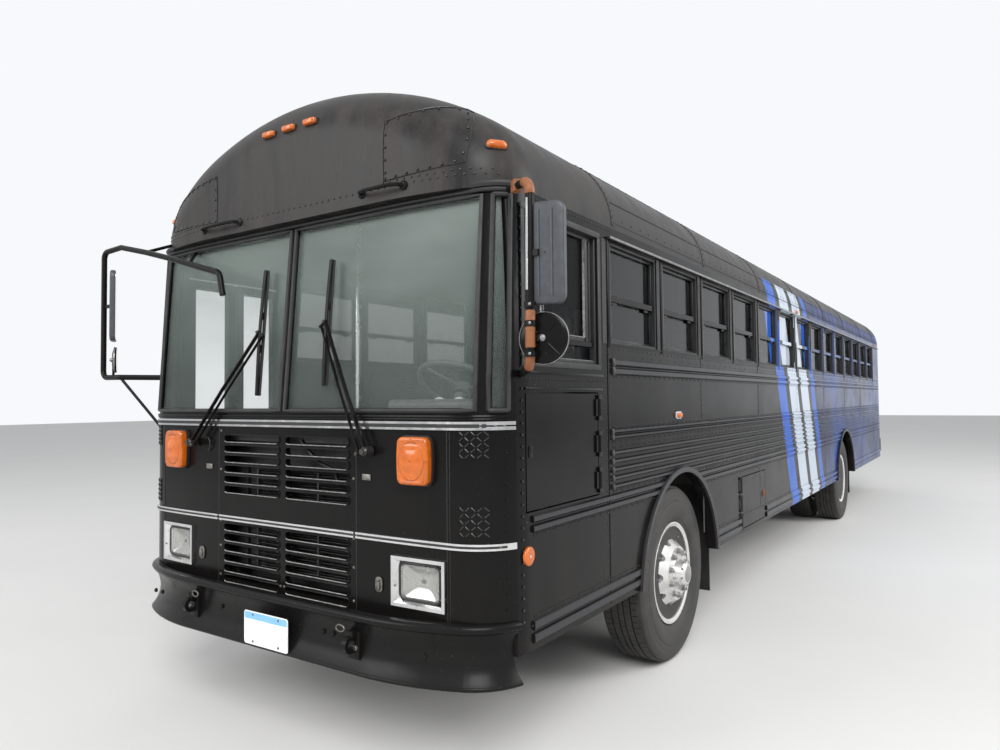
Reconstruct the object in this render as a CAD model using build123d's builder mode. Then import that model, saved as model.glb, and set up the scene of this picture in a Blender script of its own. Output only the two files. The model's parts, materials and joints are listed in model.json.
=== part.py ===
from build123d import *
import math
import os

# A full-size party bus: a flat-nosed transit body on a two-axle truck chassis.
# Millimetres. +Z is up from the ground, the nose faces -Y and +X is the driver's side.
# The origin lies on the ground under the middle of the overall box.
# A station is a distance behind the flat of the nose, turned into Y by at().

os.makedirs("parts", exist_ok=True)

# Overall sizes
HALF_WIDTH = 1219
NOSE_REACH = 150
REAR_STATION = 11780
REAR_REACH = 160
OVERALL_LENGTH = NOSE_REACH + REAR_STATION + REAR_REACH
WALL = 50
FIT = 0.3
DOOR_GAP = 7

# Heights above the ground
SKIRT_Z = 560
MASK_BOTTOM_Z = 660
FLOOR_Z = 1080
FLOOR_DEPTH = 40
WAIST_Z = 1700
SILL_Z = 1530
CANT_Z = 2450
ROOF_Z = 3100

# Seams between the big panels, as stations
SIDE_SEAM = 175
CAP_SEAM = 1070
REAR_CORNER = 120
REAR_SEAM = REAR_STATION - REAR_CORNER - 80

# Plan of the nose: a flat, a slow bow and a rounded corner on each side
# columns: lag of the flat behind station 0, radius of the bow, angle of the bow
NOSE_FLAT = 600
SILL_NOSE = (0, 5730, 4)
HEADER_NOSE = (79, 4000, 7)
CAP_NOSE = (20, 1900, 12)

# Cross-section of the roof: a corner arc on each side and one crown arc
ROOF_CORNER = 420

# Axles and wheels
WHEEL_RADIUS = 522
FRONT_AXLE = 2005
REAR_AXLE = 8050
RIM_RADIUS = 286
FRONT_TYRE_X = 1040
REAR_TYRE_X = 1044
TWIN_SPACING = 330
KINGPIN_X = 870
ARCH_RADIUS = 630
ARCH_Z = 504
ARCH_LIP = 32
ARCH_PROUD = 24


def at(station):
    """Y of a station."""
    return station + NOSE_REACH - OVERALL_LENGTH / 2


def block(x, y, z, mode=Mode.ADD):
    """Box between two limits on each axis, in the part being built."""
    with Locations(((x[0] + x[1]) / 2, (y[0] + y[1]) / 2, (z[0] + z[1]) / 2)):
        Box(x[1] - x[0], y[1] - y[0], z[1] - z[0], mode=mode)


def both(side, x):
    """Limits on X, turned to one side of the bus."""
    return tuple(sorted((side * x[0], side * x[1])))


def rod(start, end, radius, mode=Mode.ADD):
    """Round bar between two points, in the part being built."""
    axis = Vector(*end) - Vector(*start)
    with BuildSketch(Plane(origin=start, z_dir=axis.normalized())) as section:
        Circle(radius)
    extrude(section.sketch, amount=axis.length, dir=axis.normalized(), mode=mode)


def turned_box(centre, size, turn):
    """Box turned about the vertical, in the part being built."""
    with Locations(Location(centre, (0, 0, turn))):
        Box(*size)


def bent_tube(points, radius, bend):
    """Tube along a path with equal bends, in the part being built."""
    with BuildLine() as path:
        FilletPolyline(*points, radius=bend)
    start = path.wires()[0]
    with BuildSketch(Plane(origin=start @ 0, z_dir=start % 0)) as section:
        Circle(radius)
    sweep(section.sketch, path=start)


def finish(builder, name):
    """Label a finished piece and write it."""
    builder.part.label = name
    export_step(builder.part, f"parts/{name}.step")


def nose_points(nose):
    """Radius and centre of the corner arc, from the flat and the bow."""
    lag, bow_radius, bow_angle = nose
    lean = math.radians(bow_angle)
    corner_radius = (HALF_WIDTH - NOSE_FLAT - bow_radius * math.sin(lean)) / (1 - math.sin(lean))
    corner_y = at(lag + bow_radius * (1 - math.cos(lean)) + corner_radius * math.cos(lean))
    return corner_radius, corner_y


def body_plan(z, nose, inset):
    """Face of the body's plan at height z, set in from the outer skin."""
    lag, bow_radius, bow_angle = nose
    corner_radius, corner_y = nose_points(nose)
    rear_y = at(REAR_STATION)
    with BuildSketch(Plane.XY.offset(z)) as plan:
        with BuildLine():
            Line((0, at(lag + inset)), (NOSE_FLAT, at(lag + inset)))
            CenterArc((NOSE_FLAT, at(lag + bow_radius)), bow_radius - inset, -90, bow_angle)
            corner = (HALF_WIDTH - corner_radius, corner_y)
            CenterArc(corner, corner_radius - inset, bow_angle - 90, 90 - bow_angle)
            Line((HALF_WIDTH - inset, corner_y), (HALF_WIDTH - inset, rear_y - REAR_CORNER))
            corner = (HALF_WIDTH - REAR_CORNER, rear_y - REAR_CORNER)
            CenterArc(corner, REAR_CORNER - inset, 0, 90)
            Line((HALF_WIDTH - REAR_CORNER, rear_y - inset), (0, rear_y - inset))
            mirror(about=Plane.YZ)
        make_face()
    return plan.sketch


def body_core(inset):
    """Solid body from the skirt to the cant rail, upright below the sill and raked above."""
    low = body_plan(SKIRT_Z, SILL_NOSE, inset)
    sill = body_plan(SILL_Z, SILL_NOSE, inset)
    header = body_plan(CANT_Z, HEADER_NOSE, inset)
    with BuildPart() as core:
        extrude(low, amount=SILL_Z - SKIRT_Z, dir=(0, 0, 1))
        loft([sill, header])
    return core.part


def roof_section(station, inset):
    """Face of the roof's cross-section, set in from the outer skin."""
    centre_x = HALF_WIDTH - ROOF_CORNER
    rise = ROOF_Z - CANT_Z
    crown = (ROOF_CORNER**2 - centre_x**2 - rise**2) / (2 * (ROOF_CORNER - rise))
    lean = math.degrees(math.atan2(CANT_Z - ROOF_Z + crown, centre_x))
    with BuildSketch(Plane(origin=(0, at(station), 0), x_dir=(1, 0, 0), z_dir=(0, -1, 0))) as face:
        with BuildLine():
            CenterArc((centre_x, CANT_Z), ROOF_CORNER - inset, 0, lean)
            CenterArc((0, ROOF_Z - crown), crown - inset, lean, 90 - lean)
            mirror(about=Plane.YZ)
            Line((HALF_WIDTH - inset, CANT_Z), (inset - HALF_WIDTH, CANT_Z))
        make_face()
    return face.sketch


def crown_z(x, inset):
    """Height of the crown arc of the roof at x, set in from the outer skin."""
    centre_x = HALF_WIDTH - ROOF_CORNER
    rise = ROOF_Z - CANT_Z
    crown = (ROOF_CORNER**2 - centre_x**2 - rise**2) / (2 * (ROOF_CORNER - rise))
    return ROOF_Z - crown + math.sqrt((crown - inset) ** 2 - x**2)


outer_core = body_core(0)
inner_core = body_core(WALL)
with BuildPart() as body_ring:
    add(outer_core)
    add(inner_core, mode=Mode.SUBTRACT)


def nose_plane(side, x, z):
    """Plane on the skin of the bow at x, facing out of the nose."""
    lean = math.asin((x - NOSE_FLAT) / SILL_NOSE[1])
    skin = at(SILL_NOSE[1] * (1 - math.cos(lean)))
    along = (math.cos(lean), side * math.sin(lean), 0)
    out = (side * math.sin(lean), -math.cos(lean), 0)
    return Plane(origin=(side * x, skin, z), x_dir=along, z_dir=out)


# Lamps let into the nose
HEADLAMP_X, HEADLAMP_Z = 838, 838
HEADLAMP_SIZE = (275, 205)
SEALED_BEAM = (200, 142)
TURN_X, TURN_Z = 835, 1338
TURN_SIZE = (150, 190)
TURN_PROUD = 45

# Middle panel of the nose with its two pairs of slotted columns
PANEL_HALF = 490
PANEL_Z = (700, 1462)

# Windscreen openings: columns are inner and outer X of each pane
PANES = ((17, 1098), (1140, 1192))
PANE_Z = (SILL_Z + 12, 2418)

with BuildPart() as front_mask:
    add(body_ring.part)
    nose_z = (MASK_BOTTOM_Z, CANT_Z)
    block((-HALF_WIDTH, HALF_WIDTH), (at(0), at(SIDE_SEAM)), nose_z, Mode.INTERSECT)
    block((-PANEL_HALF, PANEL_HALF), (at(0), at(WALL)), PANEL_Z, Mode.SUBTRACT)
    for side in (-1, 1):
        for inner, outer in PANES:
            deep = (at(-10), at(SIDE_SEAM - 18))
            block(both(side, (inner, outer)), deep, PANE_Z, Mode.SUBTRACT)
        with BuildSketch(nose_plane(side, HEADLAMP_X, HEADLAMP_Z)):
            Rectangle(HEADLAMP_SIZE[0] + 2 * FIT, HEADLAMP_SIZE[1] + 2 * FIT)
        extrude(amount=2 * WALL, both=True, mode=Mode.SUBTRACT)
        with BuildSketch(nose_plane(side, TURN_X, TURN_Z)):
            Rectangle(TURN_SIZE[0] + 2 * FIT, TURN_SIZE[1] + 2 * FIT)
        extrude(amount=2 * WALL, both=True, mode=Mode.SUBTRACT)
finish(front_mask, "front_mask")

# Slots of the grille: columns are the middle X and the length of a column of slots
SLOT_COLUMNS = ((-230, 424), (236, 424))
SLOT_HEIGHT = 38
SLOT_PITCH = 51
SLOTS_HIGH = 6
SLOT_GROUPS_Z = (1275, 830)
GRILLE_DEPTH = 26

with BuildPart() as grille_panel:
    panel_x = (FIT - PANEL_HALF, PANEL_HALF - FIT)
    block(panel_x, (at(0), at(GRILLE_DEPTH)), (PANEL_Z[0] + FIT, PANEL_Z[1] - FIT))
    with BuildSketch(Plane(origin=(0, at(0), 0), x_dir=(1, 0, 0), z_dir=(0, -1, 0))):
        for middle_x, length in SLOT_COLUMNS:
            for group_z in SLOT_GROUPS_Z:
                with Locations((middle_x, group_z)):
                    with GridLocations(0, SLOT_PITCH, 1, SLOTS_HIGH):
                        SlotOverall(length, SLOT_HEIGHT)
    extrude(amount=-GRILLE_DEPTH, mode=Mode.SUBTRACT)
finish(grille_panel, "grille_panel")

# Chrome strips round the nose: columns are the low and high Z of each strip
TRIM_STRIPS = ((990, 1016), (1464, 1478), (1484, 1498))
TRIM_PROUD = 9
TRIM_END = 165

trim_outer = body_plan(TRIM_STRIPS[0][0], SILL_NOSE, -TRIM_PROUD)
trim_inner = body_plan(TRIM_STRIPS[0][0], SILL_NOSE, -FIT)
with BuildPart() as front_trim:
    for low, high in TRIM_STRIPS:
        moved = Location((0, 0, low - TRIM_STRIPS[0][0]))
        extrude(trim_outer.moved(moved), amount=high - low, dir=(0, 0, 1))
        extrude(trim_inner.moved(moved), amount=high - low, dir=(0, 0, 1), mode=Mode.SUBTRACT)
    span_z = (TRIM_STRIPS[0][0], TRIM_STRIPS[-1][1])
    reach = HALF_WIDTH + TRIM_PROUD
    block((-reach, reach), (at(-TRIM_PROUD), at(TRIM_END)), span_z, Mode.INTERSECT)
    for side in (-1, 1):
        block(both(side, (478, 488)), (at(-TRIM_PROUD), at(0)), TRIM_STRIPS[0], Mode.SUBTRACT)
finish(front_trim, "front_trim")

# Glass of the windscreen follows the raked nose
GLASS_SETBACK = 18
GLASS_DEPTH = 6
glass_outer = body_core(GLASS_SETBACK)
glass_inner = body_core(GLASS_SETBACK + GLASS_DEPTH)
pane_boxes = []
for side in (-1, 1):
    for inner, outer in PANES:
        pane_x = both(side, (inner + FIT, outer - FIT))
        pane_boxes.append((pane_x, (PANE_Z[0] + FIT, PANE_Z[1] - FIT)))
with BuildPart() as pane_cutter:
    for pane_x, pane_z in pane_boxes:
        block(pane_x, (at(0), at(SIDE_SEAM - 18 - FIT)), pane_z)
with BuildPart() as windshield_glass:
    add(glass_outer)
    add(glass_inner, mode=Mode.SUBTRACT)
    add(pane_cutter.part, mode=Mode.INTERSECT)
finish(windshield_glass, "windshield_glass")

with BuildPart() as headlamp_bezels:
    for side in (-1, 1):
        plane = nose_plane(side, HEADLAMP_X, HEADLAMP_Z)
        with BuildSketch(plane.offset(14)):
            Rectangle(*HEADLAMP_SIZE)
        extrude(amount=-60)
        with BuildSketch(plane.offset(14)):
            Rectangle(HEADLAMP_SIZE[0] - 30, HEADLAMP_SIZE[1] - 30)
        with BuildSketch(plane.offset(-16)):
            Rectangle(SEALED_BEAM[0] + 2 * FIT, SEALED_BEAM[1] + 2 * FIT)
        loft(mode=Mode.SUBTRACT)
        with BuildSketch(plane.offset(-16)):
            Rectangle(SEALED_BEAM[0] + 2 * FIT, SEALED_BEAM[1] + 2 * FIT)
        extrude(amount=-60, mode=Mode.SUBTRACT)
finish(headlamp_bezels, "headlamp_bezels")

with BuildPart() as headlamp_lenses:
    for side in (-1, 1):
        with BuildSketch(nose_plane(side, HEADLAMP_X, HEADLAMP_Z).offset(-6)):
            RectangleRounded(*SEALED_BEAM, 12)
        extrude(amount=-36)
finish(headlamp_lenses, "headlamp_lenses")

# Lower sides: columns of a rib are its low and high Z and the stations of its run
ARCHES = (FRONT_AXLE, REAR_AXLE)
RIB_PROUD = 12
LEFT_RIBS = (
    (1408, 1432, 1044, REAR_SEAM),
    (1380, 1404, 1044, REAR_SEAM),
    (1300, 1326, 1044, REAR_SEAM),
    (1258, 1284, 1044, REAR_SEAM),
    (1216, 1242, 1044, REAR_SEAM),
    (1174, 1200, 1044, REAR_SEAM),
    (1132, 1158, 1044, REAR_SEAM),
    (1076, 1110, 270, REAR_SEAM),
    (1036, 1070, 270, REAR_SEAM),
    (640, 684, 270, 3254),
    (588, 632, 270, 3254),
    (640, 684, 4000, REAR_SEAM),
    (588, 632, 4000, REAR_SEAM),
)
ENTRY = (265, 945)
ENTRY_Z = (470, 2335)
RIGHT_RIBS = tuple((low, high, max(first, 960), last) for low, high, first, last in LEFT_RIBS)

# Doors in the left side: columns are the stations and heights of the opening
HATCH = ((226, 892), (1121, 1616))
BATTERY = ((3270, 3990), (590, 985))

# Hinges: a barrel of the leaf turns on a pin between two knuckles of the wall
BARREL = 8
BARREL_OFF = BARREL + 0.5
HINGE_PIN = 4
PIN_PLAY = 0.05
HINGE_IN = DOOR_GAP / 2
STRAP_REACH = 34
STRAP_SHARES = (0.14, 0.5, 0.86)
LEAF_Z = (ENTRY_Z[0] + DOOR_GAP, ENTRY_Z[1] - DOOR_GAP)
HATCH_LEAF_Z = (HATCH[1][0] + DOOR_GAP, HATCH[1][1] - DOOR_GAP)
BATTERY_LEAF_Z = (BATTERY[1][0] + DOOR_GAP, BATTERY[1][1] - DOOR_GAP)
# columns: side, station of the hinge, way to the wall from there, heights of the leaf
SIDE_HINGES = (
    (-1, ENTRY[0] + HINGE_IN, -1, LEAF_Z),
    (-1, ENTRY[1] - HINGE_IN, 1, LEAF_Z),
    (1, HATCH[0][1] - HINGE_IN, 1, HATCH_LEAF_Z),
    (1, BATTERY[0][0] + HINGE_IN, -1, BATTERY_LEAF_Z),
)


def strap_heights(heights):
    """Middle of each hinge of a leaf."""
    return [heights[0] + share * (heights[1] - heights[0]) for share in STRAP_SHARES]


def wall_hinges(side, span):
    """Wall's half of each hinge on one side within a span of heights, in the part being built."""
    barrel_x = side * (HALF_WIDTH + BARREL_OFF)
    for hinge_side, station, way, heights in SIDE_HINGES:
        for middle in strap_heights(heights):
            if hinge_side != side or not span[0] < middle < span[1]:
                continue
            strap = sorted((at(station), at(station + way * STRAP_REACH)))
            for low, high in ((middle - 61, middle - 41), (middle + 41, middle + 61)):
                block(both(side, (HALF_WIDTH - 1, HALF_WIDTH + BARREL_OFF)), strap, (low, high))
                rod((barrel_x, at(station), low), (barrel_x, at(station), high), BARREL)
            rod((barrel_x, at(station), middle - 61), (barrel_x, at(station), middle + 61), HINGE_PIN)


def side_ribs(side, ribs, proud=RIB_PROUD):
    """Bevelled ribs standing out of a side, in the part being built."""
    for low, high, first, last in ribs:
        skin, bevel = HALF_WIDTH, proud * 0.7
        plane = Plane(origin=(0, at(first), 0), x_dir=(1, 0, 0), z_dir=(0, -1, 0))
        with BuildSketch(plane) as section:
            with BuildLine():
                corners = [(skin - 1, low), (skin, low), (skin + proud, low + bevel)]
                corners += [(skin + proud, high - bevel), (skin, high), (skin - 1, high)]
                Polyline([(side * x, z) for x, z in corners], close=True)
            make_face()
        extrude(section.sketch, amount=last - first, dir=(0, 1, 0))


def lower_side(side, ribs, openings):
    """Side panels from the skirt to the waist, with wheel arches and door openings."""
    with BuildPart() as panel:
        add(body_ring.part)
        span = (at(SIDE_SEAM), at(REAR_SEAM))
        block(both(side, (0, HALF_WIDTH)), span, (SKIRT_Z, WAIST_Z), Mode.INTERSECT)
        side_ribs(side, ribs)
        for axle in ARCHES:
            for radius, deep, mode in (
                (ARCH_RADIUS + ARCH_LIP, (HALF_WIDTH - 1, ARCH_PROUD + 1), Mode.ADD),
                (ARCH_RADIUS, (HALF_WIDTH - 2 * WALL, 3 * WALL), Mode.SUBTRACT),
            ):
                origin = (side * deep[0], at(axle), ARCH_Z)
                with BuildSketch(Plane(origin=origin, x_dir=(0, 1, 0), z_dir=(side, 0, 0))):
                    Circle(radius)
                extrude(amount=deep[1], mode=mode)
            below = (ARCH_Z - 2 * ARCH_RADIUS, SKIRT_Z)
            spread = (at(axle) - 2 * ARCH_RADIUS, at(axle) + 2 * ARCH_RADIUS)
            block(both(side, (HALF_WIDTH - 100, HALF_WIDTH + 100)), spread, below, Mode.SUBTRACT)
        for stations, heights in openings:
            cut = (at(stations[0]), at(stations[1]))
            block(both(side, (HALF_WIDTH - 80, HALF_WIDTH + 80)), cut, heights, Mode.SUBTRACT)
        wall_hinges(side, (0, WAIST_Z))
    return panel


left_lower_side = lower_side(1, LEFT_RIBS, (HATCH, BATTERY))
finish(left_lower_side, "left_lower_side")
right_lower_side = lower_side(-1, RIGHT_RIBS, ((ENTRY, (0, 3000)),))
finish(right_lower_side, "right_lower_side")

# Side windows between posts on an even pitch
WINDOWS = 14
FIRST_POST = 997
WINDOW_PITCH = 711
POST_WIDTH = 104
WINDOW_Z = (1862, 2376)
MID_RAIL_Z = (2080, 2110)
DRIVER_WINDOW = ((228, 900), (1748, 2384))
DRIVER_RAIL_Z = (1834, 1856)
WAIST_RIBS = ((1748, 1786, 1064, REAR_SEAM), (1704, 1742, 1064, REAR_SEAM))
GLASS_X = 1174
REAR_WINDOW = ((560, 1060), (1862, 2335))


def window_openings():
    """Stations of the front and rear edge of each passenger window."""
    for number in range(WINDOWS):
        post = FIRST_POST + number * WINDOW_PITCH
        yield post + POST_WIDTH / 2, post + WINDOW_PITCH - POST_WIDTH / 2


def window_side(side, ribs, openings):
    """Side panels from the waist to the cant rail, with windows cut."""
    with BuildPart() as panel:
        add(body_ring.part)
        span = (at(SIDE_SEAM), at(REAR_SEAM))
        block(both(side, (0, HALF_WIDTH)), span, (WAIST_Z, CANT_Z), Mode.INTERSECT)
        side_ribs(side, ribs)
        through = both(side, (HALF_WIDTH - 80, HALF_WIDTH + 80))
        for first, last in window_openings():
            block(through, (at(first), at(last)), WINDOW_Z, Mode.SUBTRACT)
        last_post = FIRST_POST + WINDOWS * WINDOW_PITCH
        rail = both(side, (1186, 1206))
        block(rail, (at(FIRST_POST), at(last_post)), MID_RAIL_Z)
        ledge = both(side, (HALF_WIDTH - 1, HALF_WIDTH + 22))
        block(ledge, (at(FIRST_POST + 10), at(REAR_SEAM)), (2384, 2396))
        for stations, heights in openings:
            cut = (at(stations[0]), at(stations[1]))
            block(through, cut, heights, Mode.SUBTRACT)
        wall_hinges(side, (WAIST_Z, CANT_Z))
    return panel


left_window_side = window_side(1, WAIST_RIBS, (DRIVER_WINDOW,))
with BuildPart() as left_window_side_railed:
    add(left_window_side.part)
    block((1186, 1204), (at(DRIVER_WINDOW[0][0] - 2), at(DRIVER_WINDOW[0][1] + 2)), DRIVER_RAIL_Z)
finish(left_window_side_railed, "left_window_side")
right_window_side = window_side(-1, WAIST_RIBS, ((ENTRY, (0, ENTRY_Z[1])),))
# The post in front of the entry is a piece apart from the header over the door
with BuildPart() as right_window_side_posted:
    add(right_window_side.part)
    header_x = both(-1, (HALF_WIDTH - 2 * WALL, HALF_WIDTH + WALL))
    block(header_x, (at(ENTRY[0] - FIT), at(ENTRY[0])), (ENTRY_Z[1] - 1, CANT_Z + 1), Mode.SUBTRACT)
finish(right_window_side_posted, "right_window_side")

with BuildPart() as window_glass:
    for side in (-1, 1):
        pane_x = both(side, (GLASS_X, GLASS_X + GLASS_DEPTH))
        for first, last in window_openings():
            pane_y = (at(first) + FIT, at(last) - FIT)
            block(pane_x, pane_y, (WINDOW_Z[0] + FIT, WINDOW_Z[1] - FIT))
    cut, heights = DRIVER_WINDOW
    pane_y = (at(cut[0]) + FIT, at(cut[1]) - FIT)
    block((GLASS_X, GLASS_X + GLASS_DEPTH), pane_y, (heights[0] + FIT, heights[1] - FIT))
    pane_y = (at(REAR_STATION - 30), at(REAR_STATION - 30 + GLASS_DEPTH))
    for side in (-1, 1):
        pane_x = both(side, (REAR_WINDOW[0][0] + FIT, REAR_WINDOW[0][1] - FIT))
        block(pane_x, pane_y, (REAR_WINDOW[1][0] + FIT, REAR_WINDOW[1][1] - FIT))
finish(window_glass, "window_glass")


def rounded_end(first, last, plan, inset, seam, radius):
    """Roof section between two stations, cut to the plan and rounded away from its seam."""
    with BuildPart() as dome:
        extrude(roof_section(first, inset), amount=last - first, dir=(0, 1, 0))
        extrude(plan, amount=ROOF_Z - CANT_Z, dir=(0, 0, 1), mode=Mode.INTERSECT)
        shoulder = dome.edges().filter_by(GeomType.LINE, reverse=True)
        shoulder = shoulder.filter_by(lambda edge: edge.center().Z > CANT_Z + 1)
        fillet(shoulder.filter_by(lambda edge: abs(edge.center().Y - at(seam)) > 1), radius=radius)
    return dome.part


# Rear wall with a middle emergency door and a window on each side
REAR_DOOR_HALF = 440
REAR_DOOR_Z = (1086, 2340)
REAR_LEAF_Z = (REAR_DOOR_Z[0] + DOOR_GAP, REAR_DOOR_Z[1] - DOOR_GAP)
REAR_HINGE = (HINGE_IN - REAR_DOOR_HALF, at(REAR_STATION + BARREL_OFF))


def rear_end(inset):
    """Roof section behind its last seam, rounded into the rear wall like the corners below it."""
    with BuildPart() as dome:
        extrude(roof_section(REAR_SEAM, inset), amount=REAR_STATION - REAR_SEAM - inset, dir=(0, 1, 0))
        rim = dome.edges().filter_by(GeomType.CIRCLE).filter_by_position(Axis.Y, at(REAR_STATION - WALL), at(REAR_STATION))
        fillet(rim, radius=REAR_CORNER - inset)
    return dome.part


with BuildPart() as rear_dome:
    add(rear_end(0))
    add(rear_end(WALL), mode=Mode.SUBTRACT)

with BuildPart() as rear_wall:
    add(body_ring.part)
    rear_y = (at(REAR_SEAM), at(REAR_STATION))
    block((-HALF_WIDTH, HALF_WIDTH), rear_y, (SKIRT_Z, CANT_Z), Mode.INTERSECT)
    add(rear_dome.part)
    through = (at(REAR_STATION - 2 * WALL), at(REAR_STATION + WALL))
    block((-REAR_DOOR_HALF, REAR_DOOR_HALF), through, REAR_DOOR_Z, Mode.SUBTRACT)
    for side in (-1, 1):
        block(both(side, REAR_WINDOW[0]), through, REAR_WINDOW[1], Mode.SUBTRACT)
    strap = (at(REAR_STATION - 1), REAR_HINGE[1])
    for middle in strap_heights(REAR_LEAF_Z):
        for low, high in ((middle - 61, middle - 41), (middle + 41, middle + 61)):
            block((REAR_HINGE[0] - STRAP_REACH, REAR_HINGE[0]), strap, (low, high))
            rod((*REAR_HINGE, low), (*REAR_HINGE, high), BARREL)
        rod((*REAR_HINGE, middle - 61), (*REAR_HINGE, middle + 61), HINGE_PIN)
finish(rear_wall, "rear_wall")

with BuildPart() as roof_shell:
    extrude(roof_section(CAP_SEAM, 0), amount=REAR_SEAM - CAP_SEAM, dir=(0, 1, 0))
    extrude(roof_section(CAP_SEAM, WALL), amount=REAR_SEAM - CAP_SEAM, dir=(0, 1, 0), mode=Mode.SUBTRACT)
finish(roof_shell, "roof_shell")

# Front cap: the roof's section, rounded down to a full brow over the windscreen
CAP_BROW = 260
CAP_SKIN = 45


cap_outer = rounded_end(0, CAP_SEAM, body_plan(CANT_Z, CAP_NOSE, 0), 0, CAP_SEAM, CAP_BROW)
cap_plan = body_plan(CANT_Z, CAP_NOSE, CAP_SKIN)
cap_inner = rounded_end(0, CAP_SEAM, cap_plan, CAP_SKIN, CAP_SEAM, CAP_BROW - CAP_SKIN)
with BuildPart() as front_cap:
    add(cap_outer)
    add(cap_inner, mode=Mode.SUBTRACT)
finish(front_cap, "front_cap")

# Floor: a deck on cross bearers, with openings for the boxes, the engine and the entry
BEARER = 60
BEARER_Z = FLOOR_Z - FLOOR_DEPTH - BEARER
HOUSE_HALF = 680
HOUSE_TOP = 1170
HOUSE_SHEET = 14
HOUSE_INNER = {FRONT_AXLE: 560, REAR_AXLE: 535}
ENGINE_HALF = 330
COVER_HALF = 450
ENGINE = ((330, 1500), (760 + FIT, 1330))
# columns of a stair tread: inner X and height
TREADS = ((950, 470), (780, 673), (610, 876))
TREAD_PLATE = 22

floor_face = body_plan(FLOOR_Z - FLOOR_DEPTH, SILL_NOSE, WALL + FIT)
with BuildPart() as floor_deck:
    extrude(floor_face, amount=FLOOR_DEPTH, dir=(0, 0, 1))
    deck_half = HALF_WIDTH - WALL - FIT
    for number in range(WINDOWS + 1):
        station = FIRST_POST + number * WINDOW_PITCH
        if any(abs(station - axle) < HOUSE_HALF + BEARER for axle in ARCHES):
            continue
        low_x = -560 if station < ENTRY[1] + BEARER else -deck_half
        bearer_y = (at(station) - BEARER / 2, at(station) + BEARER / 2)
        block((low_x, deck_half), bearer_y, (BEARER_Z, FLOOR_Z - FLOOR_DEPTH))
    for axle, inner in HOUSE_INNER.items():
        for side in (-1, 1):
            house_y = (at(axle) - HOUSE_HALF - FIT, at(axle) + HOUSE_HALF + FIT)
            block(both(side, (inner - FIT, HALF_WIDTH)), house_y, (BEARER_Z, FLOOR_Z + 1), Mode.SUBTRACT)
    bay_y = (at(0), at(ENGINE[0][1] + 10))
    block((10 - COVER_HALF, COVER_HALF - 10), bay_y, (BEARER_Z, FLOOR_Z + 1), Mode.SUBTRACT)
    well_x = (-deck_half, TREAD_PLATE + FIT - TREADS[-1][0])
    block(well_x, (at(ENTRY[0]), at(ENTRY[1])), (BEARER_Z, FLOOR_Z + 1), Mode.SUBTRACT)
finish(floor_deck, "floor_deck")

# Boxes over the wheels, let into the deck, and the batteries' tray hung under it
TRAY_SHEET = 12
TRAY_INNER = 700
with BuildPart() as floor_boxes:
    for axle, inner in HOUSE_INNER.items():
        for side in (-1, 1):
            house_y = (at(axle) - HOUSE_HALF, at(axle) + HOUSE_HALF)
            block(both(side, (inner, deck_half)), house_y, (BEARER_Z, HOUSE_TOP))
            room_y = (house_y[0] + HOUSE_SHEET, house_y[1] - HOUSE_SHEET)
            room_x = both(side, (inner + HOUSE_SHEET, HALF_WIDTH))
            block(room_x, room_y, (0, HOUSE_TOP - HOUSE_SHEET), Mode.SUBTRACT)
    tray_y = (at(BATTERY[0][0] - TRAY_SHEET), at(BATTERY[0][1] + TRAY_SHEET))
    tray_z = (BATTERY[1][0] - TRAY_SHEET, BEARER_Z - FIT)
    block((TRAY_INNER, deck_half), tray_y, tray_z)
    room_y = (at(BATTERY[0][0]), at(BATTERY[0][1]))
    room_z = (BATTERY[1][0], tray_z[1] - TRAY_SHEET)
    block((TRAY_INNER + TRAY_SHEET, HALF_WIDTH), room_y, room_z, Mode.SUBTRACT)
finish(floor_boxes, "floor_boxes")

# Stepped entry between two cheeks under the deck's edge
with BuildPart() as entry_steps:
    with BuildSketch(Plane(origin=(0, at(ENTRY[0]), 0), x_dir=(1, 0, 0), z_dir=(0, -1, 0))):
        with BuildLine():
            top_line = [(deck_half, TREADS[0][1])]
            for (inner, level), (_, above) in zip(TREADS, TREADS[1:] + ((0, FLOOR_Z),)):
                top_line += [(inner, level), (inner, above)]
            under_line = [(TREADS[-1][0] - TREAD_PLATE, FLOOR_Z)]
            for inner, level in reversed(TREADS):
                under_line += [(inner - TREAD_PLATE, level - TREAD_PLATE)]
                above = [x for x, z in TREADS if x > inner]
                outer = min(above) if above else deck_half + TREAD_PLATE
                under_line += [(outer - TREAD_PLATE, level - TREAD_PLATE)]
            Polyline([(-x, z) for x, z in top_line + under_line], close=True)
        make_face()
    extrude(amount=-(ENTRY[1] - ENTRY[0]))
    for first in (ENTRY[0] - 20, ENTRY[1]):
        cheek_z = (TREADS[0][1] - TREAD_PLATE, FLOOR_Z - FLOOR_DEPTH - FIT)
        block((-deck_half, TREAD_PLATE - TREADS[-1][0]), (at(first), at(first + 20)), cheek_z)
finish(entry_steps, "entry_steps")

# Ladder frame of channel rails, with horns that carry the front bumper
RAIL_X = (395, 470)
RAIL_Z = (740, BEARER_Z - FIT)
RAIL_START = 165
RAIL_WEB = 10
CROSS_HALF = 40
CROSS_SPACING = 1090
HORN_Z = (540, 741)
BUMPER_FACE = -112
BUMPER_DEEP = 54

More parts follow.
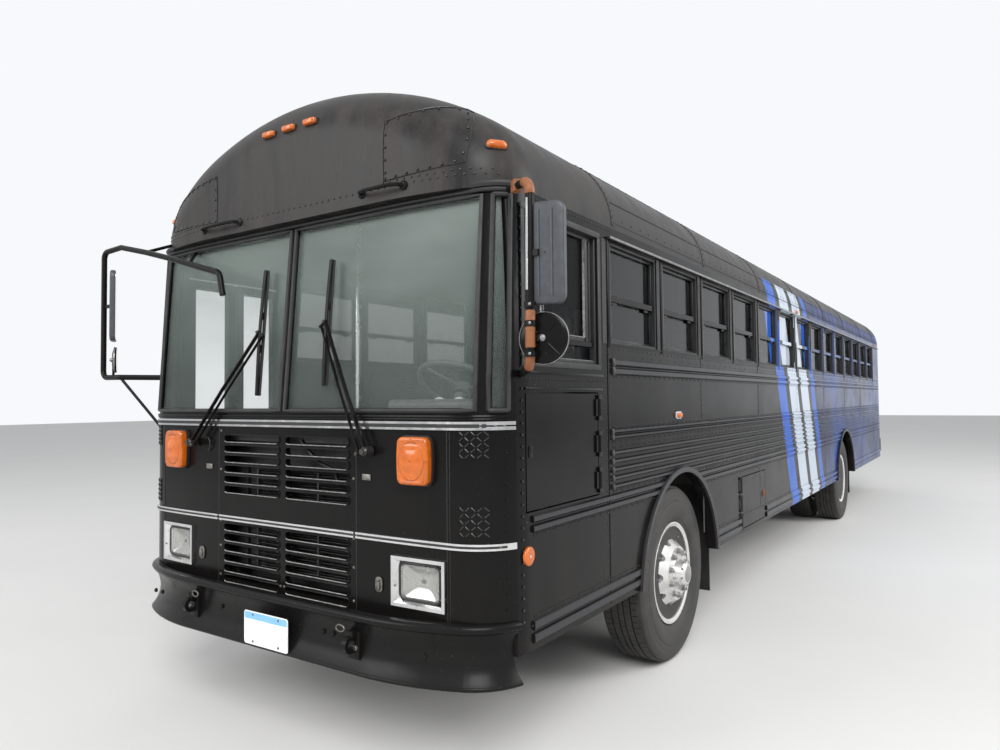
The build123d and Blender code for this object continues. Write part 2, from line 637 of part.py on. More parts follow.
with BuildPart() as chassis_frame:
    rail_y = (at(RAIL_START), at(REAR_STATION - WALL) - FIT)
    for side in (-1, 1):
        block(both(side, RAIL_X), rail_y, RAIL_Z)
        inside = both(side, (RAIL_X[0] - 1, RAIL_X[1] - RAIL_WEB))
        hollow_z = (RAIL_Z[0] + RAIL_WEB, RAIL_Z[1] - RAIL_WEB)
        block(inside, rail_y, hollow_z, Mode.SUBTRACT)
        horn_x = both(side, (RAIL_X[0] + 5, RAIL_X[1]))
        horn_end = at(RAIL_START + 260)
        block(horn_x, (at(BUMPER_FACE + BUMPER_DEEP) + FIT, horn_end), (HORN_Z[0], MASK_BOTTOM_Z - 4))
        block(horn_x, (at(WALL + 6), horn_end), HORN_Z)
    cross = 0
    while RAIL_START + CROSS_HALF + cross * CROSS_SPACING < REAR_STATION - 200:
        station = RAIL_START + CROSS_HALF + cross * CROSS_SPACING
        cross += 1
        if ENGINE[0][0] < station + CROSS_HALF and station - CROSS_HALF < ENGINE[0][1]:
            continue
        cross_y = (at(station - CROSS_HALF), at(station + CROSS_HALF))
        reach = RAIL_X[1] - RAIL_WEB / 2
        block((-reach, reach), cross_y, (RAIL_Z[0] + 40, RAIL_Z[1] - 60))
    # Engine bearers under the block
    for station in (ENGINE[0][0] + 120, ENGINE[0][1] - 180):
        bearer_y = (at(station), at(station + 70))
        block((-RAIL_X[0] - 5, RAIL_X[0] + 5), bearer_y, (RAIL_Z[0], RAIL_Z[0] + 20))
finish(chassis_frame, "chassis_frame")

# Engine, its cover in the cabin, and the radiator behind the grille
COVER_SHEET = 20
SHAFT_Z = 655
SHAFT_START = 1700
with BuildPart() as engine_block:
    engine_y = (at(ENGINE[0][0]), at(ENGINE[0][1]))
    block((-ENGINE_HALF, ENGINE_HALF), engine_y, ENGINE[1])
    rod((0, engine_y[1] - 1, 850), (0, engine_y[1] + 90, 850), 150)
    block((-120, 120), (engine_y[1], at(SHAFT_START) - FIT), (SHAFT_Z - 60, 940))
finish(engine_block, "engine_block")

with BuildPart() as engine_cover:
    cover_y = (at(RAIL_START + 8), at(ENGINE[0][1] + 60))
    cover_x = (-COVER_HALF, COVER_HALF)
    block(cover_x, cover_y, (FLOOR_Z + FIT, ENGINE[1][1] + 60))
    edges = engine_cover.edges().filter_by(Axis.Y).sort_by(Axis.Z)[-2:]
    fillet(edges, radius=60)
    inside_y = (cover_y[0] + COVER_SHEET, cover_y[1] - COVER_SHEET)
    inside_x = (cover_x[0] + COVER_SHEET, cover_x[1] - COVER_SHEET)
    block(inside_x, inside_y, (FLOOR_Z, ENGINE[1][1] + 60 - COVER_SHEET), Mode.SUBTRACT)
finish(engine_cover, "engine_cover")

RADIATOR_HALF = 400
RADIATOR = ((WALL + 35, RAIL_START - FIT), (HORN_Z[1] + FIT, 1250))
with BuildPart() as radiator:
    radiator_y = (at(RADIATOR[0][0]), at(RADIATOR[0][1]))
    block((-RADIATOR_HALF, RADIATOR_HALF), radiator_y, RADIATOR[1])
    for side in (-1, 1):
        tank = both(side, (RADIATOR_HALF - 50, RADIATOR_HALF + 30))
        block(tank, (radiator_y[0] - 12, radiator_y[1]), RADIATOR[1])
finish(radiator, "radiator")

# Front bumper: a rolled lip over a hollow channel and a flared foot, swept round the nose
# columns: half of the flat, radius and angle of the bow
BUMPER_NOSE = (600, 1150, 24)
BUMPER_HALF = HALF_WIDTH + 22
BUMPER_BACK = -62
TOW_EYE_X = 560
TOW_EYE_Z = 575
TOW_EYE_HOLE = 18
TOW_EYE_PLATE = 24
# Arcs of the section: columns are how far in from the lip and the height of start, middle and end
BUMPER_LIP = ((24, 705), (0, 689), (16, 666))
BUMPER_CHANNEL = ((16, 666), (BUMPER_DEEP - 11, 575), (5, 470))
BUMPER_FOOT = ((5, 470), (0, 459), (9, 450))
BUMPER_INSIDE = ((17, 458), (BUMPER_DEEP, 575), (30, 668))
BUMPER_BACK_EDGE = ((44, 692), (44, 705), (24, 705))

with BuildPart() as front_bumper:
    flat_half, bow_radius, bow_angle = BUMPER_NOSE
    lean = math.radians(bow_angle)
    face_y = at(BUMPER_FACE)
    corner_radius = (BUMPER_HALF - flat_half - bow_radius * math.sin(lean)) / (1 - math.sin(lean))
    corner_x = BUMPER_HALF - corner_radius
    corner_y = face_y + bow_radius * (1 - math.cos(lean)) + corner_radius * math.cos(lean)
    end = math.degrees(math.asin((corner_y - at(SIDE_SEAM)) / corner_radius))
    turn = 90 - bow_angle - end
    with BuildLine() as bumper_path:
        CenterArc((-corner_x, corner_y), corner_radius, 180 + end, turn)
        CenterArc((-flat_half, face_y + bow_radius), bow_radius, 270 - bow_angle, bow_angle)
        Line((-flat_half, face_y), (flat_half, face_y))
        CenterArc((flat_half, face_y + bow_radius), bow_radius, 270, bow_angle)
        CenterArc((corner_x, corner_y), corner_radius, 270 + bow_angle, turn)
    path = bumper_path.wires()[0]
    ahead = path % 0
    with BuildSketch(Plane(origin=path @ 0, x_dir=(-ahead.Y, ahead.X, 0), z_dir=ahead)):
        with BuildLine():
            for arc in (BUMPER_LIP, BUMPER_CHANNEL, BUMPER_FOOT):
                ThreePointArc(*arc)
            Line(BUMPER_FOOT[-1], BUMPER_INSIDE[0])
            ThreePointArc(*BUMPER_INSIDE)
            Polyline([BUMPER_INSIDE[-1]] + list(BUMPER_BACK_EDGE))
        make_face()
    sweep(path=path)
    # The lip's ends are notched round the nose
    nose_face = body_plan(MASK_BOTTOM_Z - FIT, SILL_NOSE, -FIT)
    extrude(nose_face, amount=BUMPER_LIP[0][1] - MASK_BOTTOM_Z + WALL, dir=(0, 0, 1), mode=Mode.SUBTRACT)
    # The ends are cut square in front of the side walls
    split(bisect_by=Plane(origin=(0, at(SIDE_SEAM) - FIT, 0), z_dir=(0, -1, 0)), keep=Keep.TOP)
    # Bracket behind the number plate
    block((-60, 108), (at(BUMPER_FACE), at(BUMPER_FACE + 46)), (520, 560))
    # A tow eye stands out of the channel on each side
    for side in (-1, 1):
        eye_y = at(2 * TOW_EYE_HOLE - NOSE_REACH)
        plane = Plane(origin=(side * TOW_EYE_X - TOW_EYE_PLATE / 2, 0, 0), x_dir=(0, 1, 0), z_dir=(1, 0, 0))
        with BuildSketch(plane):
            with Locations((eye_y, TOW_EYE_Z)):
                Circle(2 * TOW_EYE_HOLE)
            with Locations(((eye_y + at(BUMPER_BACK)) / 2, TOW_EYE_Z)):
                Rectangle(at(BUMPER_BACK) - eye_y, 4 * TOW_EYE_HOLE)
            with Locations((eye_y, TOW_EYE_Z)):
                Circle(TOW_EYE_HOLE, mode=Mode.SUBTRACT)
        extrude(amount=TOW_EYE_PLATE)
finish(front_bumper, "front_bumper")

REAR_BUMPER_Z = (640, 860)
with BuildPart() as rear_bumper:
    half = HALF_WIDTH - 10
    rear_y = (at(REAR_STATION + FIT), at(REAR_STATION + REAR_REACH))
    block((-half, half), rear_y, REAR_BUMPER_Z)
    fillet(rear_bumper.edges().filter_by(Axis.Z).sort_by(Axis.Y)[-2:], radius=70)
    hollow_y = (rear_y[0], rear_y[1] - 10)
    hollow_z = (REAR_BUMPER_Z[0] + 10, REAR_BUMPER_Z[1] - 10)
    block((60 - half, half - 60), hollow_y, hollow_z, Mode.SUBTRACT)
finish(rear_bumper, "rear_bumper")

# Blank number plate
PLATE = (305, 152)
PLATE_AT = (24, 540)
PLATE_HOLES = (178, 121)
PLATE_HOLE_RADIUS = 3.5
with BuildPart() as number_plate:
    with BuildSketch(Plane(origin=(0, at(BUMPER_FACE - FIT), 0), x_dir=(1, 0, 0), z_dir=(0, -1, 0))):
        with Locations(PLATE_AT):
            RectangleRounded(*PLATE, 12)
            with GridLocations(*PLATE_HOLES, 2, 2):
                Circle(PLATE_HOLE_RADIUS, mode=Mode.SUBTRACT)
    extrude(amount=2)
finish(number_plate, "number_plate")

# Front axle: a dropped beam with an eye and a kingpin at each end
EYE_RADIUS = 42
EYE_Z = (455, 590)
KINGPIN_RADIUS = 22
with BuildPart() as front_axle:
    with BuildSketch(Plane(origin=(0, at(FRONT_AXLE - 45), 0), x_dir=(1, 0, 0), z_dir=(0, -1, 0))):
        with BuildLine():
            low_line = [(0, 390), (500, 390), (640, 470), (KINGPIN_X, 480)]
            high_line = [(KINGPIN_X, 565), (620, 560), (490, 480), (0, 480)]
            Polyline([(0, 390)] + low_line[1:] + high_line)
            mirror(about=Plane.YZ)
        make_face()
    extrude(amount=-90)
    for side in (-1, 1):
        rod((side * KINGPIN_X, at(FRONT_AXLE), EYE_Z[0]), (side * KINGPIN_X, at(FRONT_AXLE), EYE_Z[1]), EYE_RADIUS)
        rod((side * KINGPIN_X, at(FRONT_AXLE), 408), (side * KINGPIN_X, at(FRONT_AXLE), 640), KINGPIN_RADIUS)
finish(front_axle, "front_axle")

# Knuckles: two ears round the kingpin, a back plate, the spindle and the steering arm
SPINDLE_RADIUS = 38
ARM_REACH = 180
ARM_X = KINGPIN_X
ARM_Z = (416, 440)
TIE_Z = (381, 411)
TIE_PIN_RADIUS = 11
KNUCKLE_EARS = ((416, EYE_Z[0] - 0.5), (EYE_Z[1] + 0.5, 632))


def knuckle(side):
    """Steering knuckle on one side."""
    axle_y = at(FRONT_AXLE)
    with BuildPart() as piece:
        for low, high in KNUCKLE_EARS:
            rod((side * KINGPIN_X, axle_y, low), (side * KINGPIN_X, axle_y, high), EYE_RADIUS)
            block(both(side, (KINGPIN_X, 946)), (axle_y - 40, axle_y + 40), (low, high))
        block(both(side, (922, 946)), (axle_y - 40, axle_y + 40), (KNUCKLE_EARS[0][0], KNUCKLE_EARS[1][1]))
        rod((side * 940, axle_y, WHEEL_RADIUS), (side * 975, axle_y, WHEEL_RADIUS), 62)
        rod((side * 970, axle_y, WHEEL_RADIUS), (side * 1184, axle_y, WHEEL_RADIUS), SPINDLE_RADIUS)
        block(both(side, (ARM_X - 22, ARM_X + 22)), (axle_y, axle_y + ARM_REACH), ARM_Z)
        arm_end = (side * ARM_X, axle_y + ARM_REACH)
        rod((*arm_end, ARM_Z[0]), (*arm_end, ARM_Z[1]), 22)
        rod((*arm_end, TIE_Z[0] - 6), (*arm_end, ARM_Z[0] + 1), TIE_PIN_RADIUS)
        rod((side * KINGPIN_X, axle_y, 400), (side * KINGPIN_X, axle_y, 650), KINGPIN_RADIUS + PIN_PLAY, Mode.SUBTRACT)
    return piece


left_knuckle = knuckle(1)
finish(left_knuckle, "left_knuckle")
right_knuckle = knuckle(-1)
finish(right_knuckle, "right_knuckle")

# Tie rod between the arms; its right eye is open enough for the linkage's spare pivot
OPEN_PLAY = 4
with BuildPart() as tie_rod:
    rod_z = sum(TIE_Z) / 2
    rod_y = at(FRONT_AXLE) + ARM_REACH
    rod((-ARM_X, rod_y, rod_z), (ARM_X, rod_y, rod_z), 14)
    for side, play in ((-1, OPEN_PLAY), (1, PIN_PLAY)):
        rod((side * ARM_X, rod_y, TIE_Z[0]), (side * ARM_X, rod_y, TIE_Z[1]), 24)
        low, high = TIE_Z[0] - 1, TIE_Z[1] + 1
        rod((side * ARM_X, rod_y, low), (side * ARM_X, rod_y, high), TIE_PIN_RADIUS + play, Mode.SUBTRACT)
finish(tie_rod, "tie_rod")

# Wheels. Columns of a section are the distance outward from the tyre's middle and the radius
TYRE_SECTION = (
    (103, RIM_RADIUS + FIT), (103, 304), (128, 330), (139.5, 400), (136, 468), (120, 508), (98, WHEEL_RADIUS),
)
BARREL_OUTSIDE = ((118, 303), (106, 303), (104, RIM_RADIUS), (60, 284), (42, 262))
BARREL_INSIDE = ((42, 252), (66, 274), (112, 276), (118, 293))
DISC_FACE = 150
BOLT_RADIUS = 160
HAND_HOLES = 10
HAND_HOLE_RADIUS = 27
HAND_HOLE_AT = 205


def revolve_section(points, axle_y):
    """Solid of revolution about the axle, from points of X and radius."""
    with BuildSketch(Plane(origin=(0, axle_y, WHEEL_RADIUS), x_dir=(1, 0, 0), z_dir=(0, -1, 0))) as section:
        with BuildLine():
            Polyline(points, close=True)
        make_face()
    axle = Axis((0, axle_y, WHEEL_RADIUS), (1, 0, 0))
    revolve(section.sketch, axis=axle)


def tyre_ring(middles, axle):
    """Tyres of one wheel, one ring at each middle X."""
    with BuildPart() as piece:
        for middle in middles:
            points = [(middle + x, r) for x, r in TYRE_SECTION]
            points += [(middle - x, r) for x, r in reversed(TYRE_SECTION)]
            revolve_section(points, at(axle))
    return piece


def rim(middle, out, axle, bore):
    """Rim with a dished disc that faces out (1 or -1) along X, in the part being built."""
    outside = [(middle + out * x, r) for x, r in BARREL_OUTSIDE]
    outside += [(middle - out * x, r) for x, r in reversed(BARREL_OUTSIDE)]
    inside = [(middle - out * x, r) for x, r in reversed(BARREL_INSIDE)]
    disc_back = [(10, 252), (DISC_FACE - 12, BOLT_RADIUS - 12), (DISC_FACE - 12, bore)]
    disc_front = [(DISC_FACE, bore), (DISC_FACE, BOLT_RADIUS), (34, 252)]
    disc = [(middle + out * x, r) for x, r in disc_back + disc_front]
    lip = [(middle + out * x, r) for x, r in BARREL_INSIDE]
    revolve_section(outside + inside + disc + lip, at(axle))


def hand_holes(low, high, axle):
    """Round holes through the discs, in the part being built."""
    plane = Plane(origin=(low, at(axle), WHEEL_RADIUS), x_dir=(0, 1, 0), z_dir=(1, 0, 0))
    with BuildSketch(plane) as holes:
        with PolarLocations(HAND_HOLE_AT, HAND_HOLES):
            Circle(HAND_HOLE_RADIUS)
    extrude(holes.sketch, amount=high - low, dir=(1, 0, 0), mode=Mode.SUBTRACT)


def front_rim(side):
    """Front wheel with its hub."""
    bore = SPINDLE_RADIUS + PIN_PLAY
    middle = side * FRONT_TYRE_X
    with BuildPart() as piece:
        rim(middle, side, FRONT_AXLE, 90)
        hub = [(-60, bore), (148, bore), (148, 0), (212, 0), (212, 58), (200, 72), (DISC_FACE, 84)]
        hub += [(DISC_FACE - 2, 95), (-60, 95)]
        revolve_section([(middle + side * x, r) for x, r in hub], at(FRONT_AXLE))
        reach = sorted((side * FRONT_TYRE_X, side * (FRONT_TYRE_X + 200)))
        hand_holes(*reach, FRONT_AXLE)
    return piece


REAR_SPINDLE_RADIUS = 58
REAR_SPINDLE_END = 1068


def rear_rims(side):
    """Twin rear wheels back to back on one hub."""
    bore = REAR_SPINDLE_RADIUS + PIN_PLAY
    outer, inner = side * REAR_TYRE_X, side * (REAR_TYRE_X - TWIN_SPACING)
    mate = REAR_TYRE_X - TWIN_SPACING / 2
    with BuildPart() as piece:
        rim(outer, -side, REAR_AXLE, 100)
        rim(inner, side, REAR_AXLE, 100)
        hub = [(760, bore), (REAR_SPINDLE_END + 4, bore), (REAR_SPINDLE_END + 4, 0), (1098, 0)]
        hub += [(1098, 70), (1082, 105), (mate + 20, 115), (mate + 15.5, 140), (mate - 15.5, 140)]
        hub += [(mate - 20, 115), (760, 110)]
        revolve_section([(side * x, r) for x, r in hub], at(REAR_AXLE))
        reach = sorted((side * (mate - 160), side * (mate + 160)))
        hand_holes(*reach, REAR_AXLE)
    return piece


for side, word in ((1, "left"), (-1, "right")):
    finish(tyre_ring([side * FRONT_TYRE_X], FRONT_AXLE), f"{word}_front_tyre")
    finish(front_rim(side), f"{word}_front_rim")
    twins = [side * REAR_TYRE_X, side * (REAR_TYRE_X - TWIN_SPACING)]
    finish(tyre_ring(twins, REAR_AXLE), f"{word}_rear_tyres")
    finish(rear_rims(side), f"{word}_rear_rims")

# Rear axle: a tube with a round differential housing and a spindle at each end
with BuildPart() as rear_axle:
    axle_y, axle_z = at(REAR_AXLE), WHEEL_RADIUS
    rod((-740, axle_y, axle_z), (740, axle_y, axle_z), 72)
    rod((-REAR_SPINDLE_END, axle_y, axle_z), (REAR_SPINDLE_END, axle_y, axle_z), REAR_SPINDLE_RADIUS)
    rod((0, axle_y - 90, axle_z), (0, axle_y + 110, axle_z), 215)
    fillet(rear_axle.edges().filter_by(GeomType.CIRCLE).filter_by(lambda e: abs(e.radius - 215) < 1), radius=60)
    rod((0, axle_y - 330, axle_z), (0, axle_y - 60, axle_z), 85)
finish(rear_axle, "rear_axle")

# Leaf springs between the rails and the axles. Columns: axle, half span, seat height, sag
SPRINGS = ((FRONT_AXLE, 620, 565, 95), (REAR_AXLE, 680, 620, 60))
SPRING_X = (396, 468)
LEAF_STACK = 44
SPRING_PAD = {FRONT_AXLE: 480, REAR_AXLE: WHEEL_RADIUS}

with BuildPart() as leaf_springs:
    for axle, span, seat_z, sag in SPRINGS:
        for side in (-1, 1):
            arc_radius = (span**2 + sag**2) / (2 * sag)
            low_x = both(side, SPRING_X)[0]
            plane = Plane(origin=(low_x, at(axle), 0), x_dir=(0, 1, 0), z_dir=(1, 0, 0))
            with BuildSketch(plane) as stack:
                with Locations((0, seat_z + arc_radius)):
                    Circle(arc_radius)
                    Circle(arc_radius - LEAF_STACK, mode=Mode.SUBTRACT)
                with Locations((0, seat_z + sag / 2)):
                    Rectangle(2 * span, sag, mode=Mode.INTERSECT)
            extrude(stack.sketch, amount=SPRING_X[1] - SPRING_X[0], dir=(1, 0, 0))
            for end in (-1, 1):
                hanger_y = sorted((at(axle) + end * (span - 46), at(axle) + end * (span + 24)))
                hanger_z = (seat_z + sag - 40, RAIL_Z[0] - FIT)
                block(both(side, SPRING_X), hanger_y, hanger_z)
            pad_z = (SPRING_PAD[axle] + FIT, seat_z + 20)
            if axle == REAR_AXLE:
                pad_z = (SPRING_PAD[axle] + 60, seat_z + 20)
            block(both(side, SPRING_X), (at(axle) - 50, at(axle) + 50), pad_z)
    for side in (-1, 1):
        tube = (side * (SPRING_X[0] - 5), at(REAR_AXLE), WHEEL_RADIUS)
        tube_end = (side * (SPRING_X[1] + 5), at(REAR_AXLE), WHEEL_RADIUS)
        rod(tube, tube_end, 72 + FIT, Mode.SUBTRACT)
finish(leaf_springs, "leaf_springs")

# Propeller shaft in two lengths with a steady bearing between them
STEADY = 4970
with BuildPart() as drive_shaft:
    nose_y = at(REAR_AXLE - 330)
    steady_point = (0, at(STEADY), SHAFT_Z)
    rod((0, at(SHAFT_START), SHAFT_Z), steady_point, 50)
    rod(steady_point, (0, nose_y - 3, WHEEL_RADIUS), 50)
    rod((0, at(STEADY - 30), SHAFT_Z), (0, at(STEADY + 30), SHAFT_Z), 85)
finish(drive_shaft, "drive_shaft")

FUEL = ((4400, 5700), (560, BEARER_Z - FIT))
with BuildPart() as fuel_tank:
    block((540, 1120), (at(FUEL[0][0]), at(FUEL[0][1])), FUEL[1])
    fillet(fuel_tank.edges().filter_by(Axis.Y), radius=60)
finish(fuel_tank, "fuel_tank")

EXHAUST_X = 525
EXHAUST_Z = 680
EXHAUST_RADIUS = 42
EXHAUST_TURN = 1240
EXHAUST_END = 11560
with BuildPart() as exhaust:
    side_y = at(EXHAUST_TURN)
    bent_tube(
        (
            (-260, side_y, ENGINE[1][0] - FIT),
            (-260, side_y, EXHAUST_Z),
            (-EXHAUST_X, side_y, EXHAUST_Z),
            (-EXHAUST_X, at(EXHAUST_END), EXHAUST_Z),
            (-EXHAUST_X, at(EXHAUST_END), 500),
        ),
        EXHAUST_RADIUS,
        60,
    )
    rod((-600, at(5050), EXHAUST_Z), (-600, at(6250), EXHAUST_Z), 108)
    for station in (FIRST_POST + 6 * WINDOW_PITCH, FIRST_POST + 7 * WINDOW_PITCH):
        strap_y = (at(station - 20), at(station + 20))
        block((-606, -594), strap_y, (EXHAUST_Z + 90, BEARER_Z - FIT))
finish(exhaust, "exhaust")

with BuildPart() as mud_flaps:
    for axle in ARCHES:
        for side in (-1, 1):
            flap_y = (at(axle + HOUSE_HALF) + FIT, at(axle + HOUSE_HALF) + 10)
            block(both(side, (620, 1160)), flap_y, (260, BEARER_Z + 60))
finish(mud_flaps, "mud_flaps")

# Lamps on the nose and body
ID_LAMPS = (-150, 0, 150)
ID_LAMP_Z = 2915
# columns: station and height of a small amber lamp on each side of the body
SIDE_MARKERS = ((1974, 1481), (5300, 2425), (REAR_SEAM - 300, 2425))
# columns: side, station and height of a round reflector
REFLECTORS = ((1, 236, 949), (-1, 1010, 949))
REFLECTOR_RADIUS = 39
# A corner lamp on each side of the cap: place, turn about the vertical, and size
CORNER_LAMP = (1127, 168, 2640)
CORNER_LAMP_TURN = -41.6
CORNER_LAMP_SIZE = (60, 120, 40)
with BuildPart() as amber_lamps:
    for side in (-1, 1):
        with BuildSketch(nose_plane(side, TURN_X, TURN_Z).offset(TURN_PROUD)):
            RectangleRounded(*TURN_SIZE, 22)
        extrude(amount=-TURN_PROUD - 30)
    for lamp_x in ID_LAMPS:
        lamp_z = (ID_LAMP_Z - 20, ID_LAMP_Z + 20)
        block((lamp_x - 45, lamp_x + 45), (at(CAP_NOSE[0] - 26), at(CAP_NOSE[0] + 40)), lamp_z)
    for side in (-1, 1):
        lamp_x, station, lamp_z = CORNER_LAMP
        turn = CORNER_LAMP_TURN if side > 0 else 180 - CORNER_LAMP_TURN
        turned_box((side * lamp_x, at(station), lamp_z), CORNER_LAMP_SIZE, turn)
    add(cap_outer, mode=Mode.SUBTRACT)
    for side in (-1, 1):
        for station, height in SIDE_MARKERS:
            lamp_x = both(side, (HALF_WIDTH + FIT, HALF_WIDTH + 24))
            block(lamp_x, (at(station - 38), at(station + 38)), (height - 17, height + 17))
    for side, station, height in REFLECTORS:
        seat = (side * (HALF_WIDTH + FIT), at(station), height)
        rod(seat, (side * (HALF_WIDTH + 14), at(station), height), REFLECTOR_RADIUS)
finish(amber_lamps, "amber_lamps")

# columns: X, height and radius of a rear lamp
REAR_LAMPS = ((1000, 1250, 80), (1000, 1450, 80))
with BuildPart() as tail_lamps:
    for side in (-1, 1):
        for lamp_x, height, radius in REAR_LAMPS:
            start = (side * lamp_x, at(REAR_STATION) + FIT, height)
            rod(start, (side * lamp_x, at(REAR_STATION + 40), height), radius)
    for lamp_x in ID_LAMPS:
        block((lamp_x - 45, lamp_x + 45), (at(REAR_STATION) + FIT, at(REAR_STATION + 24)), (2640, 2675))
finish(tail_lamps, "tail_lamps")


# Mirrors: bent tubes that carry the glass heads
def mirror_head(centre, size, turn):
    """Round-cornered mirror shell turned about the vertical, in the part being built."""
    wide, deep, high = size
    way = math.radians(turn)
    across = (math.cos(way), math.sin(way), 0)
    ahead = (math.sin(way), -math.cos(way), 0)
    with BuildSketch(Plane(origin=centre, x_dir=across, z_dir=ahead).offset(deep / 2)) as outline:
        RectangleRounded(wide, high, HEAD_CORNER)
    extrude(outline.sketch, amount=-deep)


TUBE = 16
HEAD_CORNER = 38
MIRROR_REACH = 1520
LOOP_X = TUBE - MIRROR_REACH
with BuildPart() as left_mirror:
    bent_tube(((1170, at(160), 2430), (1385, at(10), 2405), (1385, at(0), 1705), (1212, at(215), 1690)), TUBE, 60)
    mirror_head((MIRROR_REACH - 77, at(6), 2120), (150, 34, 385), -12)
    turned_box((1405, at(6), 2120), (60, 14, 30), 0)
    with Locations(Location((MIRROR_REACH - 92, at(4), 1805), (90, 0, 0))):
        Cylinder(92, 26)
    add(outer_core, mode=Mode.SUBTRACT)
finish(left_mirror, "left_mirror")

LOOP = (
    (-1120, 150, 1730), (-1330, -62, 1733), (LOOP_X, -65, 1735), (LOOP_X, -65, 2470),
    (-1320, -65, 2478), (-1070, -65, 2420), (-820, -65, 2355), (-400, -65, 2235), (-372, -65, 2120),
)
with BuildPart() as right_mirror:
    bent_tube([(x, at(station), z) for x, station, z in LOOP], TUBE, 40)
    rod((-1060, at(-65), 2420), (-1060, at(130), 2500), 9)
    rod((-660, at(-65), 2305), (-850, at(110), 2430), 9)
    rod((-1330, at(-62), 1735), (-1120, at(130), 1372), 8)
    mirror_head((-1425, at(-60), 2170), (165, 26, 410), 40)
    turned_box((-1465, at(-62), 2170), (90, 12, 30), 0)
    with Locations(Location((-1345, at(-60), 1830), (90, 0, 30))):
        Cylinder(75, 22)
    rod((-1345, at(-62), 1740), (-1345, at(-62), 1800), 7)
    add(outer_core, mode=Mode.SUBTRACT)
    add(cap_outer, mode=Mode.SUBTRACT)
finish(right_mirror, "right_mirror")

# Wipers: a twin arm from a pivot on the cowl to an upright blade
# columns: side of the bus, pivot X and height, blade X, its low and high end
WIPERS = ((-1, 689, 1378, 452, 1700, 2290), (1, 571, 1370, 262, 1720, 2330))
WIPER_OUT = -32


def raked(z):
    """Station of the flat of the windscreen at a height."""
    return HEADER_NOSE[0] * (z - SILL_Z) / (CANT_Z - SILL_Z)


with BuildPart() as wipers:
    for side, pivot_x, pivot_z, blade_x, low, high in WIPERS:
        joint_z = (low + high) / 2
        pivot = (side * pivot_x, at(WIPER_OUT), pivot_z)
        joint = (side * blade_x, at(raked(joint_z) + WIPER_OUT), joint_z)
        rod(pivot, joint, 8)
        second = (side * (pivot_x - 45), at(WIPER_OUT), pivot_z - 12)
        rod(second, (side * (blade_x - 30), joint[1], joint_z - 20), 5)
        rod((side * (pivot_x + 6), at(WIPER_OUT), pivot_z), (side * (pivot_x - 50), at(WIPER_OUT), pivot_z - 14), 10)
        rod((side * pivot_x, at(WIPER_OUT - 8), pivot_z), (side * pivot_x, at(6), pivot_z), 13)
        rod((joint[0] + 6, joint[1], joint_z), (side * (blade_x - 36), joint[1], joint_z - 20), 6)
        low_end = (side * blade_x, at(raked(low) + WIPER_OUT + 4), low)
        high_end = (side * blade_x, at(raked(high) + WIPER_OUT + 4), high)
        rod(low_end, high_end, 8)
    add(outer_core, mode=Mode.SUBTRACT)
finish(wipers, "wipers")

# Driver's place: dash, column, wheel and seat
DRIVER_X = 660
DASH_Z = (ENGINE[1][1] + 60 + FIT, 1500)
dash_plan = body_plan(DASH_Z[0], SILL_NOSE, WALL + FIT)
COLUMN_LEAN = 32
WHEEL_CENTRE = (DRIVER_X, 560, 1640)
WHEEL_RIM = (230, 13)
with BuildPart() as dashboard:
    extrude(dash_plan, amount=DASH_Z[1] - DASH_Z[0], dir=(0, 0, 1))
    block((-560, HALF_WIDTH), (at(0), at(440)), DASH_Z, Mode.INTERSECT)
    block((400, 950), (at(300), at(440)), (DASH_Z[1] - 1, DASH_Z[1] + 90))
    fillet(dashboard.edges().filter_by(Axis.X).group_by(Axis.Z)[-1], radius=30)
    low = (FLOOR_Z + FIT, DASH_Z[0] + 1)
    block((COVER_HALF + 2, HALF_WIDTH - WALL - FIT), (at(255), at(275)), low)
    lean = math.radians(COLUMN_LEAN)
    toward = (0, math.sin(lean), math.cos(lean))
    top = (WHEEL_CENTRE[0], at(WHEEL_CENTRE[1]), WHEEL_CENTRE[2])
    foot = tuple(top[i] - 420 * toward[i] for i in range(3))
    neck = tuple(top[i] - 40 * toward[i] for i in range(3))
    rod(foot, neck, 34)
    rod(neck, top, 14)
finish(dashboard, "dashboard")

with BuildPart() as steering_wheel:
    hub_plane = Plane(origin=top, x_dir=(1, 0, 0), z_dir=toward)
    with BuildSketch(hub_plane.offset(-26)):
        Circle(42)
        Circle(14 + PIN_PLAY, mode=Mode.SUBTRACT)
    extrude(amount=27)
    with BuildSketch(hub_plane.offset(0.5)):
        Circle(42)
    extrude(amount=16)
    with BuildSketch(hub_plane.offset(-8)):
        for turn in (0, 120, 240):
            with Locations(Location((0, 0), turn)):
                with Locations((WHEEL_RIM[0] / 2 + 15, 0)):
                    Rectangle(WHEEL_RIM[0] - 30, 26)
    extrude(amount=12)
    with BuildSketch(Plane(origin=top, x_dir=(1, 0, 0), z_dir=hub_plane.y_dir)):
        with Locations((WHEEL_RIM[0], 0)):
            Circle(WHEEL_RIM[1])
    revolve(axis=Axis(top, toward))
finish(steering_wheel, "steering_wheel")

SEAT_AT = 1010
with BuildPart() as driver_seat:
    seat_x = (DRIVER_X - 240, DRIVER_X + 240)
    block((DRIVER_X - 150, DRIVER_X + 150), (at(SEAT_AT - 150), at(SEAT_AT + 150)), (FLOOR_Z + FIT, 1420))
    block(seat_x, (at(SEAT_AT - 240), at(SEAT_AT + 240)), (1419, 1530))
    block(seat_x, (at(SEAT_AT + 160), at(SEAT_AT + 270)), (1500, 2080))
finish(driver_seat, "driver_seat")

